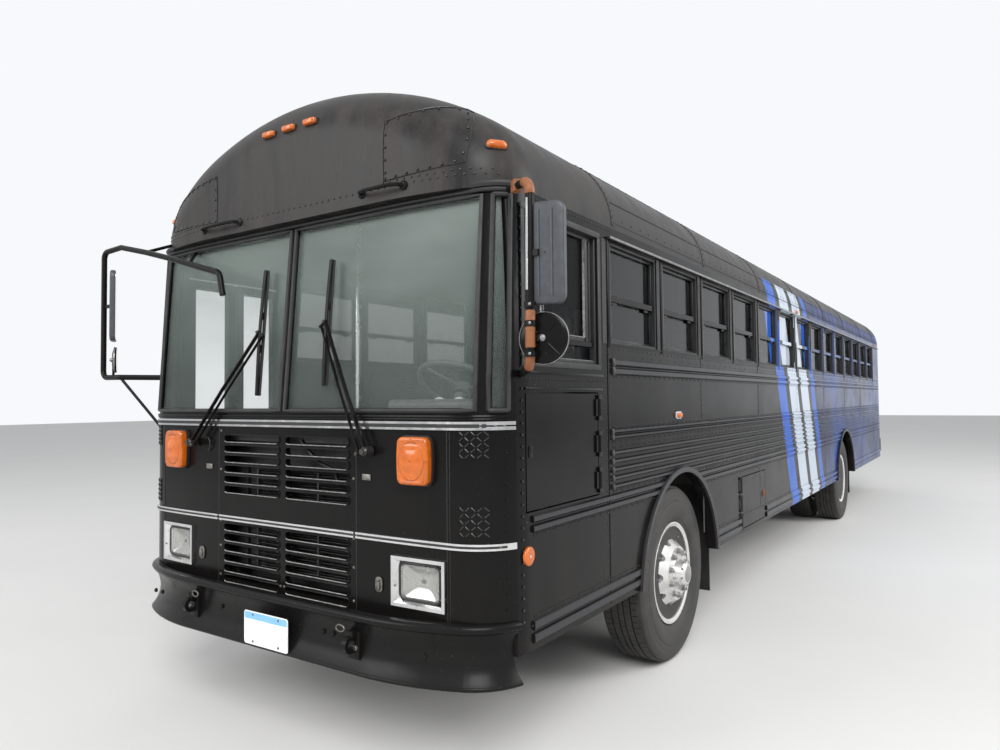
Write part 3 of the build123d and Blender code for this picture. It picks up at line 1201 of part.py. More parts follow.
# Benches along both walls. Columns: side, first and last station, height of the base
BENCHES = (
    (1, 2740, 7320, FLOOR_Z), (1, 7360, 8740, HOUSE_TOP), (1, 8780, 11500, FLOOR_Z),
    (-1, 2740, 7320, FLOOR_Z), (-1, 7360, 8740, HOUSE_TOP), (-1, 8780, 11500, FLOOR_Z),
)
BENCH_DEPTH = 480
BENCH_SEAT_Z = 1520
BENCH_TOP_Z = 1846
with BuildPart() as bench_seats:
    for side, first, last, base in BENCHES:
        back_x = HALF_WIDTH - WALL - FIT
        plane = Plane(origin=(0, at(first), 0), x_dir=(side, 0, 0), z_dir=(0, -side, 0))
        with BuildSketch(plane):
            with BuildLine():
                inner_x = back_x - BENCH_DEPTH
                corners = [(back_x, base + FIT), (inner_x + 60, base + FIT)]
                corners += [(inner_x + 60, BENCH_SEAT_Z - 110), (inner_x, BENCH_SEAT_Z - 100)]
                corners += [(inner_x, BENCH_SEAT_Z - 20), (inner_x + 20, BENCH_SEAT_Z)]
                corners += [(back_x - 110, BENCH_SEAT_Z - 10), (back_x - 80, BENCH_TOP_Z)]
                corners += [(back_x, BENCH_TOP_Z)]
                Polyline(corners, close=True)
            make_face()
        extrude(amount=-side * (last - first))
finish(bench_seats, "bench_seats")

# Grab poles from floor to ceiling: columns X and station
POLES = ((-520, 1020), (430, 1700), (300, 4000), (-300, 6000), (300, 8000), (-300, 10000))
POLE_RADIUS = 17
with BuildPart() as stanchions:
    for pole_x, station in POLES:
        shell = CAP_SKIN if station < CAP_SEAM else WALL
        top_z = crown_z(abs(pole_x) + POLE_RADIUS, shell) - FIT
        rod((pole_x, at(station), FLOOR_Z + FIT), (pole_x, at(station), top_z), POLE_RADIUS)
finish(stanchions, "stanchions")

# Swinging doors. Each leaf carries bored barrels that turn on the wall's pins
DOOR_DEPTH = 35
FRAME_WIDTH = 48


def side_leaf(side, stations, heights, hinge, window, depth):
    """Door in a side wall between two edges, with its barrel at the hinge station."""
    skin = HALF_WIDTH
    with BuildPart() as leaf:
        block(both(side, (skin - depth, skin)), (at(stations[0]), at(stations[1])), heights)
        if window:
            cut = (at(stations[0] + FRAME_WIDTH), at(stations[1] - FRAME_WIDTH))
            block(both(side, (skin - 2 * depth, skin + depth)), cut, window, Mode.SUBTRACT)
        inward = 1 if hinge < sum(stations) / 2 else -1
        strap = sorted((at(hinge), at(hinge + inward * STRAP_REACH)))
        barrel_x = side * (skin + BARREL_OFF)
        for middle in strap_heights(heights):
            low, high = (barrel_x, at(hinge), middle - 40), (barrel_x, at(hinge), middle + 40)
            block(both(side, (skin - 1, skin + BARREL_OFF)), strap, (middle - 40, middle + 40))
            rod(low, high, BARREL)
            rod(low, high, HINGE_PIN + PIN_PLAY, Mode.SUBTRACT)
    return leaf


ENTRY_MIDDLE = sum(ENTRY) / 2
LEAF_WINDOW = (760, LEAF_Z[1] - FRAME_WIDTH)
ENTRY_LEAVES = (
    ("front", (ENTRY[0] + DOOR_GAP, ENTRY_MIDDLE - DOOR_GAP), ENTRY[0] + HINGE_IN),
    ("rear", (ENTRY_MIDDLE + DOOR_GAP, ENTRY[1] - DOOR_GAP), ENTRY[1] - HINGE_IN),
)
for word, stations, hinge in ENTRY_LEAVES:
    finish(side_leaf(-1, stations, LEAF_Z, hinge, LEAF_WINDOW, DOOR_DEPTH), f"entry_door_{word}_leaf")
    with BuildPart() as entry_glass:
        pane_x = (-HALF_WIDTH + 14, -HALF_WIDTH + 14 + GLASS_DEPTH)
        pane_y = (at(stations[0] + FRAME_WIDTH) + FIT, at(stations[1] - FRAME_WIDTH) - FIT)
        block(pane_x, pane_y, (LEAF_WINDOW[0] + FIT, LEAF_WINDOW[1] - FIT))
    finish(entry_glass, f"entry_door_{word}_glass")

hatch_stations = (HATCH[0][0] + DOOR_GAP, HATCH[0][1] - DOOR_GAP)
finish(side_leaf(1, hatch_stations, HATCH_LEAF_Z, HATCH[0][1] - HINGE_IN, None, 28), "access_hatch")
battery_stations = (BATTERY[0][0] + DOOR_GAP, BATTERY[0][1] - DOOR_GAP)
finish(side_leaf(1, battery_stations, BATTERY_LEAF_Z, BATTERY[0][0] + HINGE_IN, None, 28), "battery_door")

REAR_DOOR_WINDOWS = ((1240, 1640), (1800, 2240))
with BuildPart() as rear_door:
    leaf_x = (DOOR_GAP - REAR_DOOR_HALF, REAR_DOOR_HALF - DOOR_GAP)
    block(leaf_x, (at(REAR_STATION - DOOR_DEPTH), at(REAR_STATION)), REAR_LEAF_Z)
    for heights in REAR_DOOR_WINDOWS:
        cut_x = (leaf_x[0] + 110, leaf_x[1] - 110)
        block(cut_x, (at(REAR_STATION - 2 * DOOR_DEPTH), at(REAR_STATION + 10)), heights, Mode.SUBTRACT)
    strap = (at(REAR_STATION - 1), REAR_HINGE[1])
    for middle in strap_heights(REAR_LEAF_Z):
        block((REAR_HINGE[0], REAR_HINGE[0] + 60), strap, (middle - 40, middle + 40))
        rod((*REAR_HINGE, middle - 40), (*REAR_HINGE, middle + 40), BARREL)
        rod((*REAR_HINGE, middle - 40), (*REAR_HINGE, middle + 40), HINGE_PIN + PIN_PLAY, Mode.SUBTRACT)
finish(rear_door, "rear_door")

with BuildPart() as rear_door_glass:
    for low, high in REAR_DOOR_WINDOWS:
        pane_x = (leaf_x[0] + 110 + FIT, leaf_x[1] - 110 - FIT)
        pane_y = (at(REAR_STATION - 24), at(REAR_STATION - 24 + GLASS_DEPTH))
        block(pane_x, pane_y, (low + FIT, high - FIT))
finish(rear_door_glass, "rear_door_glass")
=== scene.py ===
import json
import math
from functools import partialmethod

import bpy
from mathutils import Matrix, Vector
from mathutils.bvhtree import BVHTree

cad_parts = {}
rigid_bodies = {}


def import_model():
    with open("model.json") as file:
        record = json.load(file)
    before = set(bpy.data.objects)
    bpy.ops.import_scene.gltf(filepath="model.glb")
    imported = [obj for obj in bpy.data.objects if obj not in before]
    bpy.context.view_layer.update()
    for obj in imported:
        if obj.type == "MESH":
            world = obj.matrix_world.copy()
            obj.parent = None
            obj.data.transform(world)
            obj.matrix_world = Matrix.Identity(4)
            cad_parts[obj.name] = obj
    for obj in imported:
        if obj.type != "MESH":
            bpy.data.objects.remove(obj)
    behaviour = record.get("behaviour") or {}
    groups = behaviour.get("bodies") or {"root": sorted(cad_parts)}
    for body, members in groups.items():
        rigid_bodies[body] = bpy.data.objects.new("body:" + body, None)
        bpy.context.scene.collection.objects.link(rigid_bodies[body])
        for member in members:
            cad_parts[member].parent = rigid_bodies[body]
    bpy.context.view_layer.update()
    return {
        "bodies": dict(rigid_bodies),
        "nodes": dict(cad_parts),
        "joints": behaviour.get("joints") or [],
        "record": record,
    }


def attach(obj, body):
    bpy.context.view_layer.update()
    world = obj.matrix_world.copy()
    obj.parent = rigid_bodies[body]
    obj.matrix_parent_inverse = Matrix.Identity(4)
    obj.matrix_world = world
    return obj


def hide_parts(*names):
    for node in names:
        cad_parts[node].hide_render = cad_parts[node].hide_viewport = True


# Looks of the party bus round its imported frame. Metres, +Z up, nose toward -Y, +X the driver's side.
# A station is a distance behind the flat of the nose, in metres.

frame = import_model()
nodes = frame["nodes"]

MIDDLE_STATION = 5.895
HALF_WIDTH = 1.219
CANT_Z, ROOF_Z, ROOF_CORNER = 2.45, 3.1, 0.42
CAP_SEAM, REAR_SEAM, REAR_STATION = 1.07, 11.58, 11.78
FIRST_POST, WINDOW_PITCH, POST_WIDTH, WINDOWS = 0.997, 0.711, 0.104, 14
WINDOW_Z = (1.862, 2.376)
FRONT_AXLE, REAR_AXLE, WHEEL_Z, ARCH_Z = 2.005, 8.05, 0.522, 0.504
SIDES = (-1, 1)
ACROSS, BACK, UP = Vector((1, 0, 0)), Vector((0, 1, 0)), Vector((0, 0, 1))
BOX_FACES = ((0, 1, 3, 2), (4, 6, 7, 5), (0, 4, 5, 1), (2, 3, 7, 6), (0, 2, 6, 4), (1, 5, 7, 3))


def at(station):
    """Y of a station."""
    return station - MIDDLE_STATION


def spot(x, station, z):
    """Point at X, a station and Z."""
    return Vector((x, at(station), z))


def circle(sides):
    """Cosine and sine of each step round a circle."""
    return [(math.cos(a), math.sin(a)) for a in (2 * math.pi * i / sides for i in range(sides))]


def spread(first, last, steps):
    """Values from first to last in equal steps."""
    return [first + (last - first) * i / steps for i in range(steps + 1)]


# Camera solved from the photograph: place, heading, tilt and roll in degrees, focal length in pixels
EYE = (2.786, at(-2.280), 1.584)
CAMERA_ANGLES = (33.976, 1.961, -0.5436)
FOCAL_PIXELS, PHOTO_WIDTH = 724.43, 1000
SENSOR = 36


def photo_camera():
    """Camera at the photograph's place and angle."""
    yaw, pitch, roll = (math.radians(a) for a in CAMERA_ANGLES)
    ahead = Vector((-math.sin(yaw) * math.cos(pitch), math.cos(yaw) * math.cos(pitch), math.sin(pitch)))
    level = Vector((math.cos(yaw), math.sin(yaw), 0))
    above = level.cross(ahead)
    right = math.cos(roll) * level + math.sin(roll) * above
    up = math.cos(roll) * above - math.sin(roll) * level
    data = bpy.data.cameras.new("photo_camera")
    data.sensor_fit, data.sensor_width = "HORIZONTAL", SENSOR
    data.lens = FOCAL_PIXELS / PHOTO_WIDTH * SENSOR
    data.clip_end = 200
    camera = shown("photo_camera", data)
    camera.matrix_world = Matrix.Translation(EYE) @ Matrix((right, up, -ahead)).transposed().to_4x4()
    bpy.context.scene.camera = camera


def shown(name, data):
    """New object in the scene."""
    item = bpy.data.objects.new(name, data)
    bpy.context.scene.collection.objects.link(item)
    return item


# Materials


class Paint:
    """Grows the node tree of one material."""

    def __init__(self, name):
        self.material = bpy.data.materials.new(name)
        self.material.use_nodes = True
        self.nodes = self.material.node_tree.nodes
        self.links = self.material.node_tree.links
        self.shader = self.nodes["Principled BSDF"]
        self.place = self.nodes.new("ShaderNodeTexCoord").outputs["Object"]

    def put(self, value, socket):
        """Set a socket to a number or colour, or link another socket to it."""
        if isinstance(value, (int, float)):
            socket.default_value = value
        elif isinstance(value, tuple):
            socket.default_value = (*value, 1)
        else:
            self.links.new(value, socket)

    def set(self, **values):
        """Set or link inputs of the shader."""
        for key, value in values.items():
            self.put(value, self.shader.inputs[key.replace("_", " ")])
        return self

    def node(self, kind, **inputs):
        """New node with some inputs set or linked."""
        node = self.nodes.new("ShaderNode" + kind)
        for key, value in inputs.items():
            self.put(value, node.inputs[key])
        return node

    def noise(self, scale, detail=4, rough=0.6, stretch=(1, 1, 1)):
        """Noise of a size per metre, stretched along an axis."""
        mapping = self.node("Mapping", Vector=self.place)
        mapping.inputs["Scale"].default_value = stretch
        node = self.node("TexNoise", Vector=mapping.outputs[0], Scale=scale, Detail=detail, Roughness=rough)
        return node.outputs["Fac"]

    def ramp(self, value, low, high, first=0.0, second=1.0):
        """Grey that goes from one level at a position to another."""
        node = self.node("ValToRGB", Fac=value)
        for item, position, grey in zip(node.color_ramp.elements, (low, high), (first, second)):
            item.position, item.color = position, (grey, grey, grey, 1)
        return node.outputs["Color"]

    def mix(self, factor, first, second):
        """Blend of two colours or sockets."""
        node = self.nodes.new("ShaderNodeMix")
        node.data_type = "RGBA"
        ends = [s for s in node.inputs if s.type == "RGBA"]
        for value, socket in zip((factor, first, second), (node.inputs["Factor"], *ends)):
            self.put(value, socket)
        return [s for s in node.outputs if s.type == "RGBA"][0]

    def maths(self, how, first, second=0.0, clamp=False):
        """Result of one sum."""
        node = self.nodes.new("ShaderNodeMath")
        node.operation, node.use_clamp = how, clamp
        self.put(first, node.inputs[0])
        self.put(second, node.inputs[1])
        return node.outputs[0]

    plus = partialmethod(maths, "ADD")
    minus = partialmethod(maths, "SUBTRACT")
    times = partialmethod(maths, "MULTIPLY")
    most = partialmethod(maths, "MAXIMUM")

    def rise(self, value, start, reach):
        """0 below a start, growing to 1 over a reach."""
        return self.maths("DIVIDE", self.minus(value, start), reach, clamp=True)

    def axis(self, letter):
        """One coordinate of the shaded point."""
        return self.node("SeparateXYZ", Vector=self.place).outputs[letter]

    def band(self, value, low, high, soft):
        """1 between two limits, with soft edges."""
        down = self.maths("DIVIDE", self.minus(high, value), soft, clamp=True)
        return self.times(self.rise(value, low, soft), down)

    def bump(self, height, strength, distance=0.001):
        """Normal bent by a height."""
        return self.node("Bump", Height=height, Strength=strength, Distance=distance).outputs["Normal"]


def body_paint(name, base, dust, dusty, rough=(0.28, 0.5), over=None):
    """Satin paint with dust, faint streaks and small specks, and what lies over it; the dust thickens towards the
    bottom, where it is partly a painted reflection of the ground.
    """
    p = Paint(name)
    cloud = p.ramp(p.noise(1.3, 6), 0.35, 0.75)
    streak = p.ramp(p.noise(6, 5, stretch=(1, 1, 0.08)), 0.4, 0.8)
    # more dust towards the bottom: real dust, and a painted reflection of the ground on the lower panels
    low = p.maths("DIVIDE", p.minus(1.5, p.axis("Z")), 1.6, clamp=True)
    amount = p.times(p.plus(p.times(p.plus(cloud, streak), 0.5), low), dusty, clamp=True)
    specks = p.ramp(p.noise(190, 2, 0.5), 0.745, 0.785)
    colour = p.mix(p.times(specks, 0.4), p.mix(amount, base, dust), (0.34, 0.32, 0.29))
    return p.set(
        Base_Color=over(p, colour) if over else colour,
        Roughness=p.ramp(p.noise(3, 6), 0.3, 0.75, *rough),
        Normal=p.bump(p.noise(2.2, 3), 0.14, 0.01),
        Specular_IOR_Level=0.12,
    )


def plain(name, base, rough=0.5, metal=0.0, vary=0.25, scale=30, bump=0.0):
    """Surface with fine mottling of one colour."""
    p = Paint(name)
    dark, light = tuple(c * (1 - vary) for c in base), tuple(min(c * (1 + vary), 1) for c in base)
    p.set(
        Base_Color=p.mix(p.ramp(p.noise(scale, 5), 0.3, 0.7), dark, light),
        Roughness=p.ramp(p.noise(scale * 0.4, 5), 0.3, 0.7, rough * 0.8, min(rough * 1.25, 1)),
        Metallic=metal,
    )
    return p.set(Normal=p.bump(p.noise(scale * 4, 4), bump, 0.002)) if bump else p


def rusty(name, base):
    """Dark paint that has rusted through in patches."""
    p = Paint(name)
    rust = p.mix(p.noise(60, 5), (0.09, 0.028, 0.01), (0.3, 0.11, 0.035))
    patches = p.ramp(p.noise(9, 6), 0.47, 0.56)
    return p.set(
        Base_Color=p.mix(patches, base, rust),
        Roughness=p.ramp(patches, 0, 1, 0.4, 0.85),
        Normal=p.bump(p.noise(160, 4), 0.35, 0.002),
    )


def glass(name, tint, clear, rough=0.02):
    """Thin tinted pane that shows what is behind it."""
    p = Paint(name)
    p.set(Base_Color=tint, IOR=1.45, Alpha=clear)
    grime = p.ramp(p.noise(5, 6), 0.4, 0.9)
    return p.set(Roughness=p.ramp(grime, 0, 1, rough, rough + 0.12))


BLACK = (0.0042, 0.0043, 0.005)
DUST = (0.13, 0.105, 0.08)
NAVY = (0.006, 0.013, 0.055)
BRIGHT = (0.02, 0.10, 0.44)
PALE = (0.46, 0.52, 0.60)

# Slanted bands of the generic livery, from front to back: station at ground level, width, colour
BANDS = ((5.22, 0.30, BRIGHT), (5.66, 0.36, PALE), (6.16, 0.36, PALE), (6.66, 0.20, BRIGHT))
FIELD_START = 6.98
BAND_LEAN = 0.42
BAND_EDGE = 0.004
ARCH_EDGE = 0.664
# X beyond which the ribs' crowns carry a painted highlight
RIB_HIGHLIGHT_X = HALF_WIDTH + 0.0075
ROOF_BAND_Z = 2.62
DRIVER_GLASS = (-1, 0.95, 0.16)


def livery(p, under, field=1.0):
    """Generic slanted bands with a blue field behind them: colour, and where they cover."""
    slant = p.plus(p.axis("Y"), p.times(p.axis("Z"), BAND_LEAN))
    cover = p.times(p.band(slant, at(FIELD_START), at(20), BAND_EDGE), field)
    clouds = p.ramp(p.noise(0.8, 5), 0.42, 0.72)
    colour = p.mix(cover, under, p.mix(p.times(clouds, 0.55), NAVY, BRIGHT))
    for first, wide, tone in BANDS:
        stripe = p.band(slant, at(first), at(first + wide), BAND_EDGE)
        colour = p.mix(stripe, colour, tone)
        cover = p.most(cover, stripe)
    return colour, cover


def side_livery(p, under):
    """Ribs with a painted highlight along their crowns, the livery with a black rear arch in it, and a film of dust."""
    # painted highlight: the rib crowns get a paler colour where light catches them
    crown = p.band(p.maths("ABSOLUTE", p.axis("X")), RIB_HIGHLIGHT_X, 2, 0.003)
    under = p.mix(p.times(crown, 0.75), under, (0.045, 0.046, 0.05))
    ahead, above = p.minus(p.axis("Y"), at(REAR_AXLE)), p.minus(p.axis("Z"), ARCH_Z)
    reach = p.maths("SQRT", p.plus(p.times(ahead, ahead), p.times(above, above)))
    colour = p.mix(p.band(reach, -1, ARCH_EDGE, 0.002), livery(p, under)[0], under)
    film = p.ramp(p.noise(2.4, 6, stretch=(1, 1, 0.2)), 0.45, 0.85)
    return p.mix(p.times(film, 0.05), colour, DUST)


def banded_glass(name, tint, clear):
    """Tinted pane with the livery's bands printed over it; the driver's window is nearly clear."""
    p = glass(name, tint, clear)
    colour, cover = livery(p, tint, 0.0)
    first, last, driver_clear = DRIVER_GLASS
    driver = p.band(p.axis("Y"), at(first), at(last), BAND_EDGE)
    body = p.minus(clear, p.times(driver, clear - driver_clear))
    return p.set(Base_Color=colour, Alpha=p.most(p.times(cover, 0.93), body))


def front_glass():
    """Greenish pane, hazier towards its top."""
    p = Paint("front_glass")
    clouds = p.ramp(p.noise(1.6, 4, stretch=(1, 1, 2.5)), 0.35, 0.7, 0.55)
    haze = p.times(p.times(p.rise(p.axis("Z"), 1.75, 0.75), clouds), 0.24)
    p.set(Base_Color=(0.3, 0.36, 0.33), IOR=1.45, Alpha=p.plus(haze, 0.10))
    return p.set(Specular_IOR_Level=0.45, Roughness=0.3)


def roof_paint(name, base, dusty, banded=False):
    """Weathered roof coat with broad pale streaks down its curve."""
    p = Paint(name)
    streak = p.ramp(p.noise(7.5, 8, 0.68, (1, 1, 0.16)), 0.40, 0.74)
    fine = p.ramp(p.noise(45, 4), 0.35, 0.7)
    worn = p.mix(p.times(streak, dusty), base, (0.085, 0.072, 0.062))
    worn = p.mix(p.times(fine, 0.3), worn, (0.012, 0.011, 0.011))
    specks = p.ramp(p.noise(150, 2, 0.5), 0.725, 0.77)
    worn = p.mix(p.times(specks, 0.35), worn, (0.3, 0.28, 0.26))
    if banded:
        colour, cover = livery(p, worn)
        edge = p.times(p.band(p.axis("Z"), 0, ROOF_BAND_Z, 0.01), p.minus(1.0, p.times(streak, 0.35)))
        worn = p.mix(p.times(cover, edge), worn, colour)
    p.set(Base_Color=worn, Roughness=p.ramp(streak, 0, 1, 0.38, 0.6), Specular_IOR_Level=0.22)
    return p.set(Normal=p.bump(p.noise(1.7, 4), 0.25, 0.012))


def tyre_paint():
    """Dusty rubber."""
    p = Paint("tyre_rubber")
    dust = p.ramp(p.noise(9, 6), 0.35, 0.75)
    p.set(Base_Color=p.mix(p.times(dust, 0.55), (0.012, 0.012, 0.0125), (0.075, 0.066, 0.056)))
    return p.set(Roughness=p.ramp(dust, 0, 1, 0.55, 0.8), Normal=p.bump(p.noise(220, 3), 0.12, 0.002))


def polished(name, base, rough, dirt=0.25, metal=1.0):
    """Polished metal with a little dirt and fine scratches."""
    p = Paint(name)
    grime = p.ramp(p.noise(14, 6), 0.45, 0.8)
    p.set(Base_Color=p.mix(p.times(grime, dirt), base, (0.2, 0.16, 0.11)), Metallic=metal)
    p.set(Normal=p.bump(p.noise(60, 3, stretch=(1, 1, 6)), 0.04))
    return p.set(Roughness=p.ramp(grime, 0, 1, rough, rough + 0.3))


def lens(name, base, rough=0.12):
    """Moulded plastic lens."""
    p = Paint(name)
    p.set(Base_Color=p.mix(p.ramp(p.noise(25, 4), 0.35, 0.7), tuple(c * 0.7 for c in base), base))
    p.set(Roughness=p.ramp(p.noise(12, 5), 0.3, 0.7, rough, rough + 0.15))
    return p.set(Coat_Weight=0.3, Coat_Roughness=0.06)


def vinyl(name, base):
    """Soft coated cloth with a fine leather grain."""
    p = Paint(name)
    cells = p.node("TexVoronoi", Vector=p.place, Scale=420)
    p.set(Base_Color=p.mix(p.ramp(p.noise(7, 5), 0.3, 0.75), base, tuple(c * 1.7 for c in base)))
    p.set(Roughness=p.ramp(p.noise(18, 4), 0.3, 0.7, 0.38, 0.55))
    return p.set(Normal=p.bump(cells.outputs["Distance"], 0.25))


PAINT = {
    "side": body_paint("side_black", BLACK, DUST, 0.045, (0.14, 0.30), side_livery),
    "front": body_paint("front_black", (0.0038, 0.0037, 0.004), DUST, 0.03, (0.14, 0.28)),
    "black": body_paint("trim_black", (0.005, 0.0048, 0.005), DUST, 0.03, (0.22, 0.4)),
    "bumper": body_paint("bumper_black", (0.0045, 0.0044, 0.0047), (0.10, 0.09, 0.078), 0.045, (0.2, 0.36)),
    "roof": roof_paint("roof_coat", (0.014, 0.0132, 0.0134), 0.45, True),
    "cap": roof_paint("cap_coat", (0.011, 0.0102, 0.0102), 0.5),
    "chrome": polished("bright_trim", (0.62, 0.62, 0.63), 0.12),
    "wheel": polished("bright_wheel", (0.74, 0.73, 0.72), 0.24, 0.45, 0.82),
    "rear_wheel": polished("bright_rear_wheel", (0.66, 0.655, 0.65), 0.3, 0.3, 0.25),
    "steel": plain("grey_steel", (0.3, 0.29, 0.28), 0.45, 0.7, 0.25, 12),
    "tyre": tyre_paint(),
    "rubber": plain("black_rubber", (0.009, 0.009, 0.0095), 0.55, 0.0, 0.4, 20, 0.1),
    "chassis": plain("chassis_black", (0.016, 0.015, 0.0145), 0.6, 0.0, 0.5, 6, 0.15),
    "rust": rusty("rusted_paint", (0.008, 0.0075, 0.008)),
    "exhaust": rusty("exhaust_skin", (0.16, 0.12, 0.09)),
    "iron": plain("engine_iron", (0.12, 0.11, 0.1), 0.6, 0.4, 0.35, 8, 0.3),
    "alloy": plain("dull_alloy", (0.42, 0.42, 0.43), 0.35, 0.9, 0.15, 10),
    "window": banded_glass("side_glass", (0.008, 0.009, 0.0095), 0.66),
    "windshield": front_glass(),
    "clear": glass("clear_glass", (0.75, 0.78, 0.78), 0.22),
    "amber": lens("amber_lens", (0.60, 0.125, 0.005), 0.16),
    "red": lens("red_lens", (0.5, 0.01, 0.01)),
    "floor": plain("floor_rubber", (0.06, 0.055, 0.05), 0.7, 0.0, 0.3, 25, 0.1),
    "dash": plain("dash_plastic", (0.05, 0.05, 0.052), 0.55, 0.0, 0.2, 60, 0.2),
    "cover": plain("cover_shell", (0.34, 0.33, 0.3), 0.6, 0.0, 0.15, 15, 0.1),
    "seat": vinyl("seat_vinyl", (0.03, 0.03, 0.034)),
    "pole": polished("pole_steel", (0.75, 0.75, 0.75), 0.15, 0.1),
    "plate": plain("plate_face", (0.78, 0.81, 0.84), 0.3, 0.0, 0.06, 20),
    "plate_blue": plain("plate_band", (0.2, 0.45, 0.68), 0.3, 0.0, 0.1, 20),
    "mirror": polished("mirror_face", (0.8, 0.8, 0.8), 0.01, 0.05),
    "bowl": polished("beam_bowl", (0.42, 0.42, 0.41), 0.16, 0.1),
    "mirror_shell": plain("mirror_shell", (0.040, 0.044, 0.052), 0.4, 0.0, 0.2, 40, 0.1),
    "beam_cover": glass("beam_cover", (0.5, 0.5, 0.46), 0.3, 0.05),
    # pale metal of nuts, rims, beads and the gutter lip, and also the painted highlight along the grille slots
    "edge": plain("pale_metal_and_highlight", (0.20, 0.195, 0.19), 0.35, 0.5, 0.5, 40),
    "edge_dark": plain("rubbed_edge", (0.03, 0.028, 0.027), 0.35, 0.3, 0.6, 50),
    "screw": plain("screw_metal", (0.16, 0.15, 0.135), 0.4, 0.7, 0.5, 60),
    "rust_dot": plain("rusted_screw", (0.2, 0.08, 0.03), 0.8, 0.1, 0.4, 80, 0.2),
    "orange_rust": rusty("orange_rust", (0.22, 0.075, 0.024)),
    "sash": plain("sash_metal", (0.016, 0.016, 0.017), 0.3, 0.3, 0.5, 30),
    "rivet": plain("rivet_heads", (0.012, 0.0115, 0.012), 0.3, 0.1, 0.6, 25),
    "screw_dark": plain("dark_screws", (0.016, 0.014, 0.013), 0.5, 0.2, 0.6, 40),
    "bright_plastic": plain("pale_bezel", (0.5, 0.5, 0.49), 0.35, 0.1, 0.15, 40),
    "core": plain("radiator_core", (0.02, 0.02, 0.021), 0.45, 0.4, 0.3, 30),
    "core_fins": plain("core_fins", (0.10, 0.10, 0.098), 0.4, 0.5, 0.4, 30),
    "inside": plain("cabin_panel", (0.11, 0.105, 0.10), 0.6, 0.0, 0.15, 8),
}
FINISHES = {
    "side": "left_lower_side right_lower_side left_window_side right_window_side rear_wall rear_door battery_door",
    "front": "front_mask grille_panel access_hatch",
    "black": "entry_door_front_leaf entry_door_rear_leaf wipers",
    "bumper": "front_bumper rear_bumper",
    "roof": "roof_shell",
    "cap": "front_cap",
    "chrome": "front_trim headlamp_bezels",
    "wheel": "left_front_rim right_front_rim",
    "rear_wheel": "left_rear_rims right_rear_rims",
    "tyre": "left_front_tyre right_front_tyre left_rear_tyres right_rear_tyres",
    "rubber": "mud_flaps",
    "chassis": "chassis_frame front_axle rear_axle leaf_springs left_knuckle right_knuckle tie_rod drive_shaft",
    "rust": "left_mirror right_mirror",
    "exhaust": "exhaust",
    "iron": "engine_block",
    "alloy": "fuel_tank",
    "core": "radiator",
    "window": "window_glass rear_door_glass",
    "windshield": "windshield_glass entry_door_front_glass entry_door_rear_glass",
    "clear": "headlamp_lenses",
    "amber": "amber_lamps",
    "red": "tail_lamps",
    "floor": "floor_deck floor_boxes entry_steps",
    "dash": "dashboard steering_wheel",
    "cover": "engine_cover",
    "seat": "bench_seats driver_seat",
    "pole": "stanchions",
    "plate": "number_plate",
}
for finish, names in FINISHES.items():
    for name in names.split():
        for slot in nodes[name].material_slots:
            slot.material = PAINT[finish].material

# Lamps: name, place, point aimed at, size and power
LAMPS = (
    ("key_lamp", (9, -16, 12), (0, -4, 1.4), 9, 2600),
    ("front_lamp", (-7, -17, 7), (0, -5.5, 1.5), 7, 900),
    ("side_lamp", (14, 3, 8), (1, 1, 1.5), 9, 1500),
)
FLOOR_REACH = 60


def setting():
    """Pale floor, pale surroundings and soft lamps."""
    floor = bpy.data.meshes.new("floor")
    corners = [(x * FLOOR_REACH, y * FLOOR_REACH, 0) for x, y in ((-1, -1), (1, -1), (1, 1), (-1, 1))]
    floor.from_pydata(corners, [], [(0, 1, 2, 3)])
    ground = shown("floor", floor)
    p = Paint("floor_coat")
    p.set(Base_Color=p.mix(p.noise(0.6, 5), (0.66, 0.65, 0.63), (0.72, 0.71, 0.69)), Roughness=0.85)
    floor.materials.append(p.material)
    world = bpy.data.worlds.new("surroundings")
    bpy.context.scene.world = world
    world.use_nodes = True
    make, link = world.node_tree.nodes, world.node_tree.links.new
    light, backdrop = make["Background"], make.new("ShaderNodeBackground")
    for node, colour, strength in ((light, (0.93, 0.96, 1, 1), 0.62), (backdrop, (0.93, 0.95, 0.97, 1), 1.0)):
        node.inputs["Color"].default_value = colour
        node.inputs["Strength"].default_value = strength
    # the backdrop's colour also shows in metal and glass
    path, blend = make.new("ShaderNodeLightPath"), make.new("ShaderNodeMixShader")
    seen = path.outputs["Is Camera Ray"]
    for way in ("Is Glossy Ray", "Is Transmission Ray"):
        either = make.new("ShaderNodeMath")
        either.operation = "MAXIMUM"
        link(seen, either.inputs[0])
        link(path.outputs[way], either.inputs[1])
        seen = either.outputs[0]
    for socket, out in zip(blend.inputs, (seen, light.outputs[0], backdrop.outputs[0])):
        link(out, socket)
    link(blend.outputs[0], make["World Output"].inputs["Surface"])
    for name, place, aim, size, power in LAMPS:
        data = bpy.data.lights.new(name, "AREA")
        data.size, data.energy = size, power
        lamp = shown(name, data)
        lamp.location = place
        lamp.rotation_euler = (Vector(aim) - Vector(place)).to_track_quat("-Z", "Y").to_euler()
    bpy.context.scene.view_settings.view_transform = "Standard"


# Mesh building


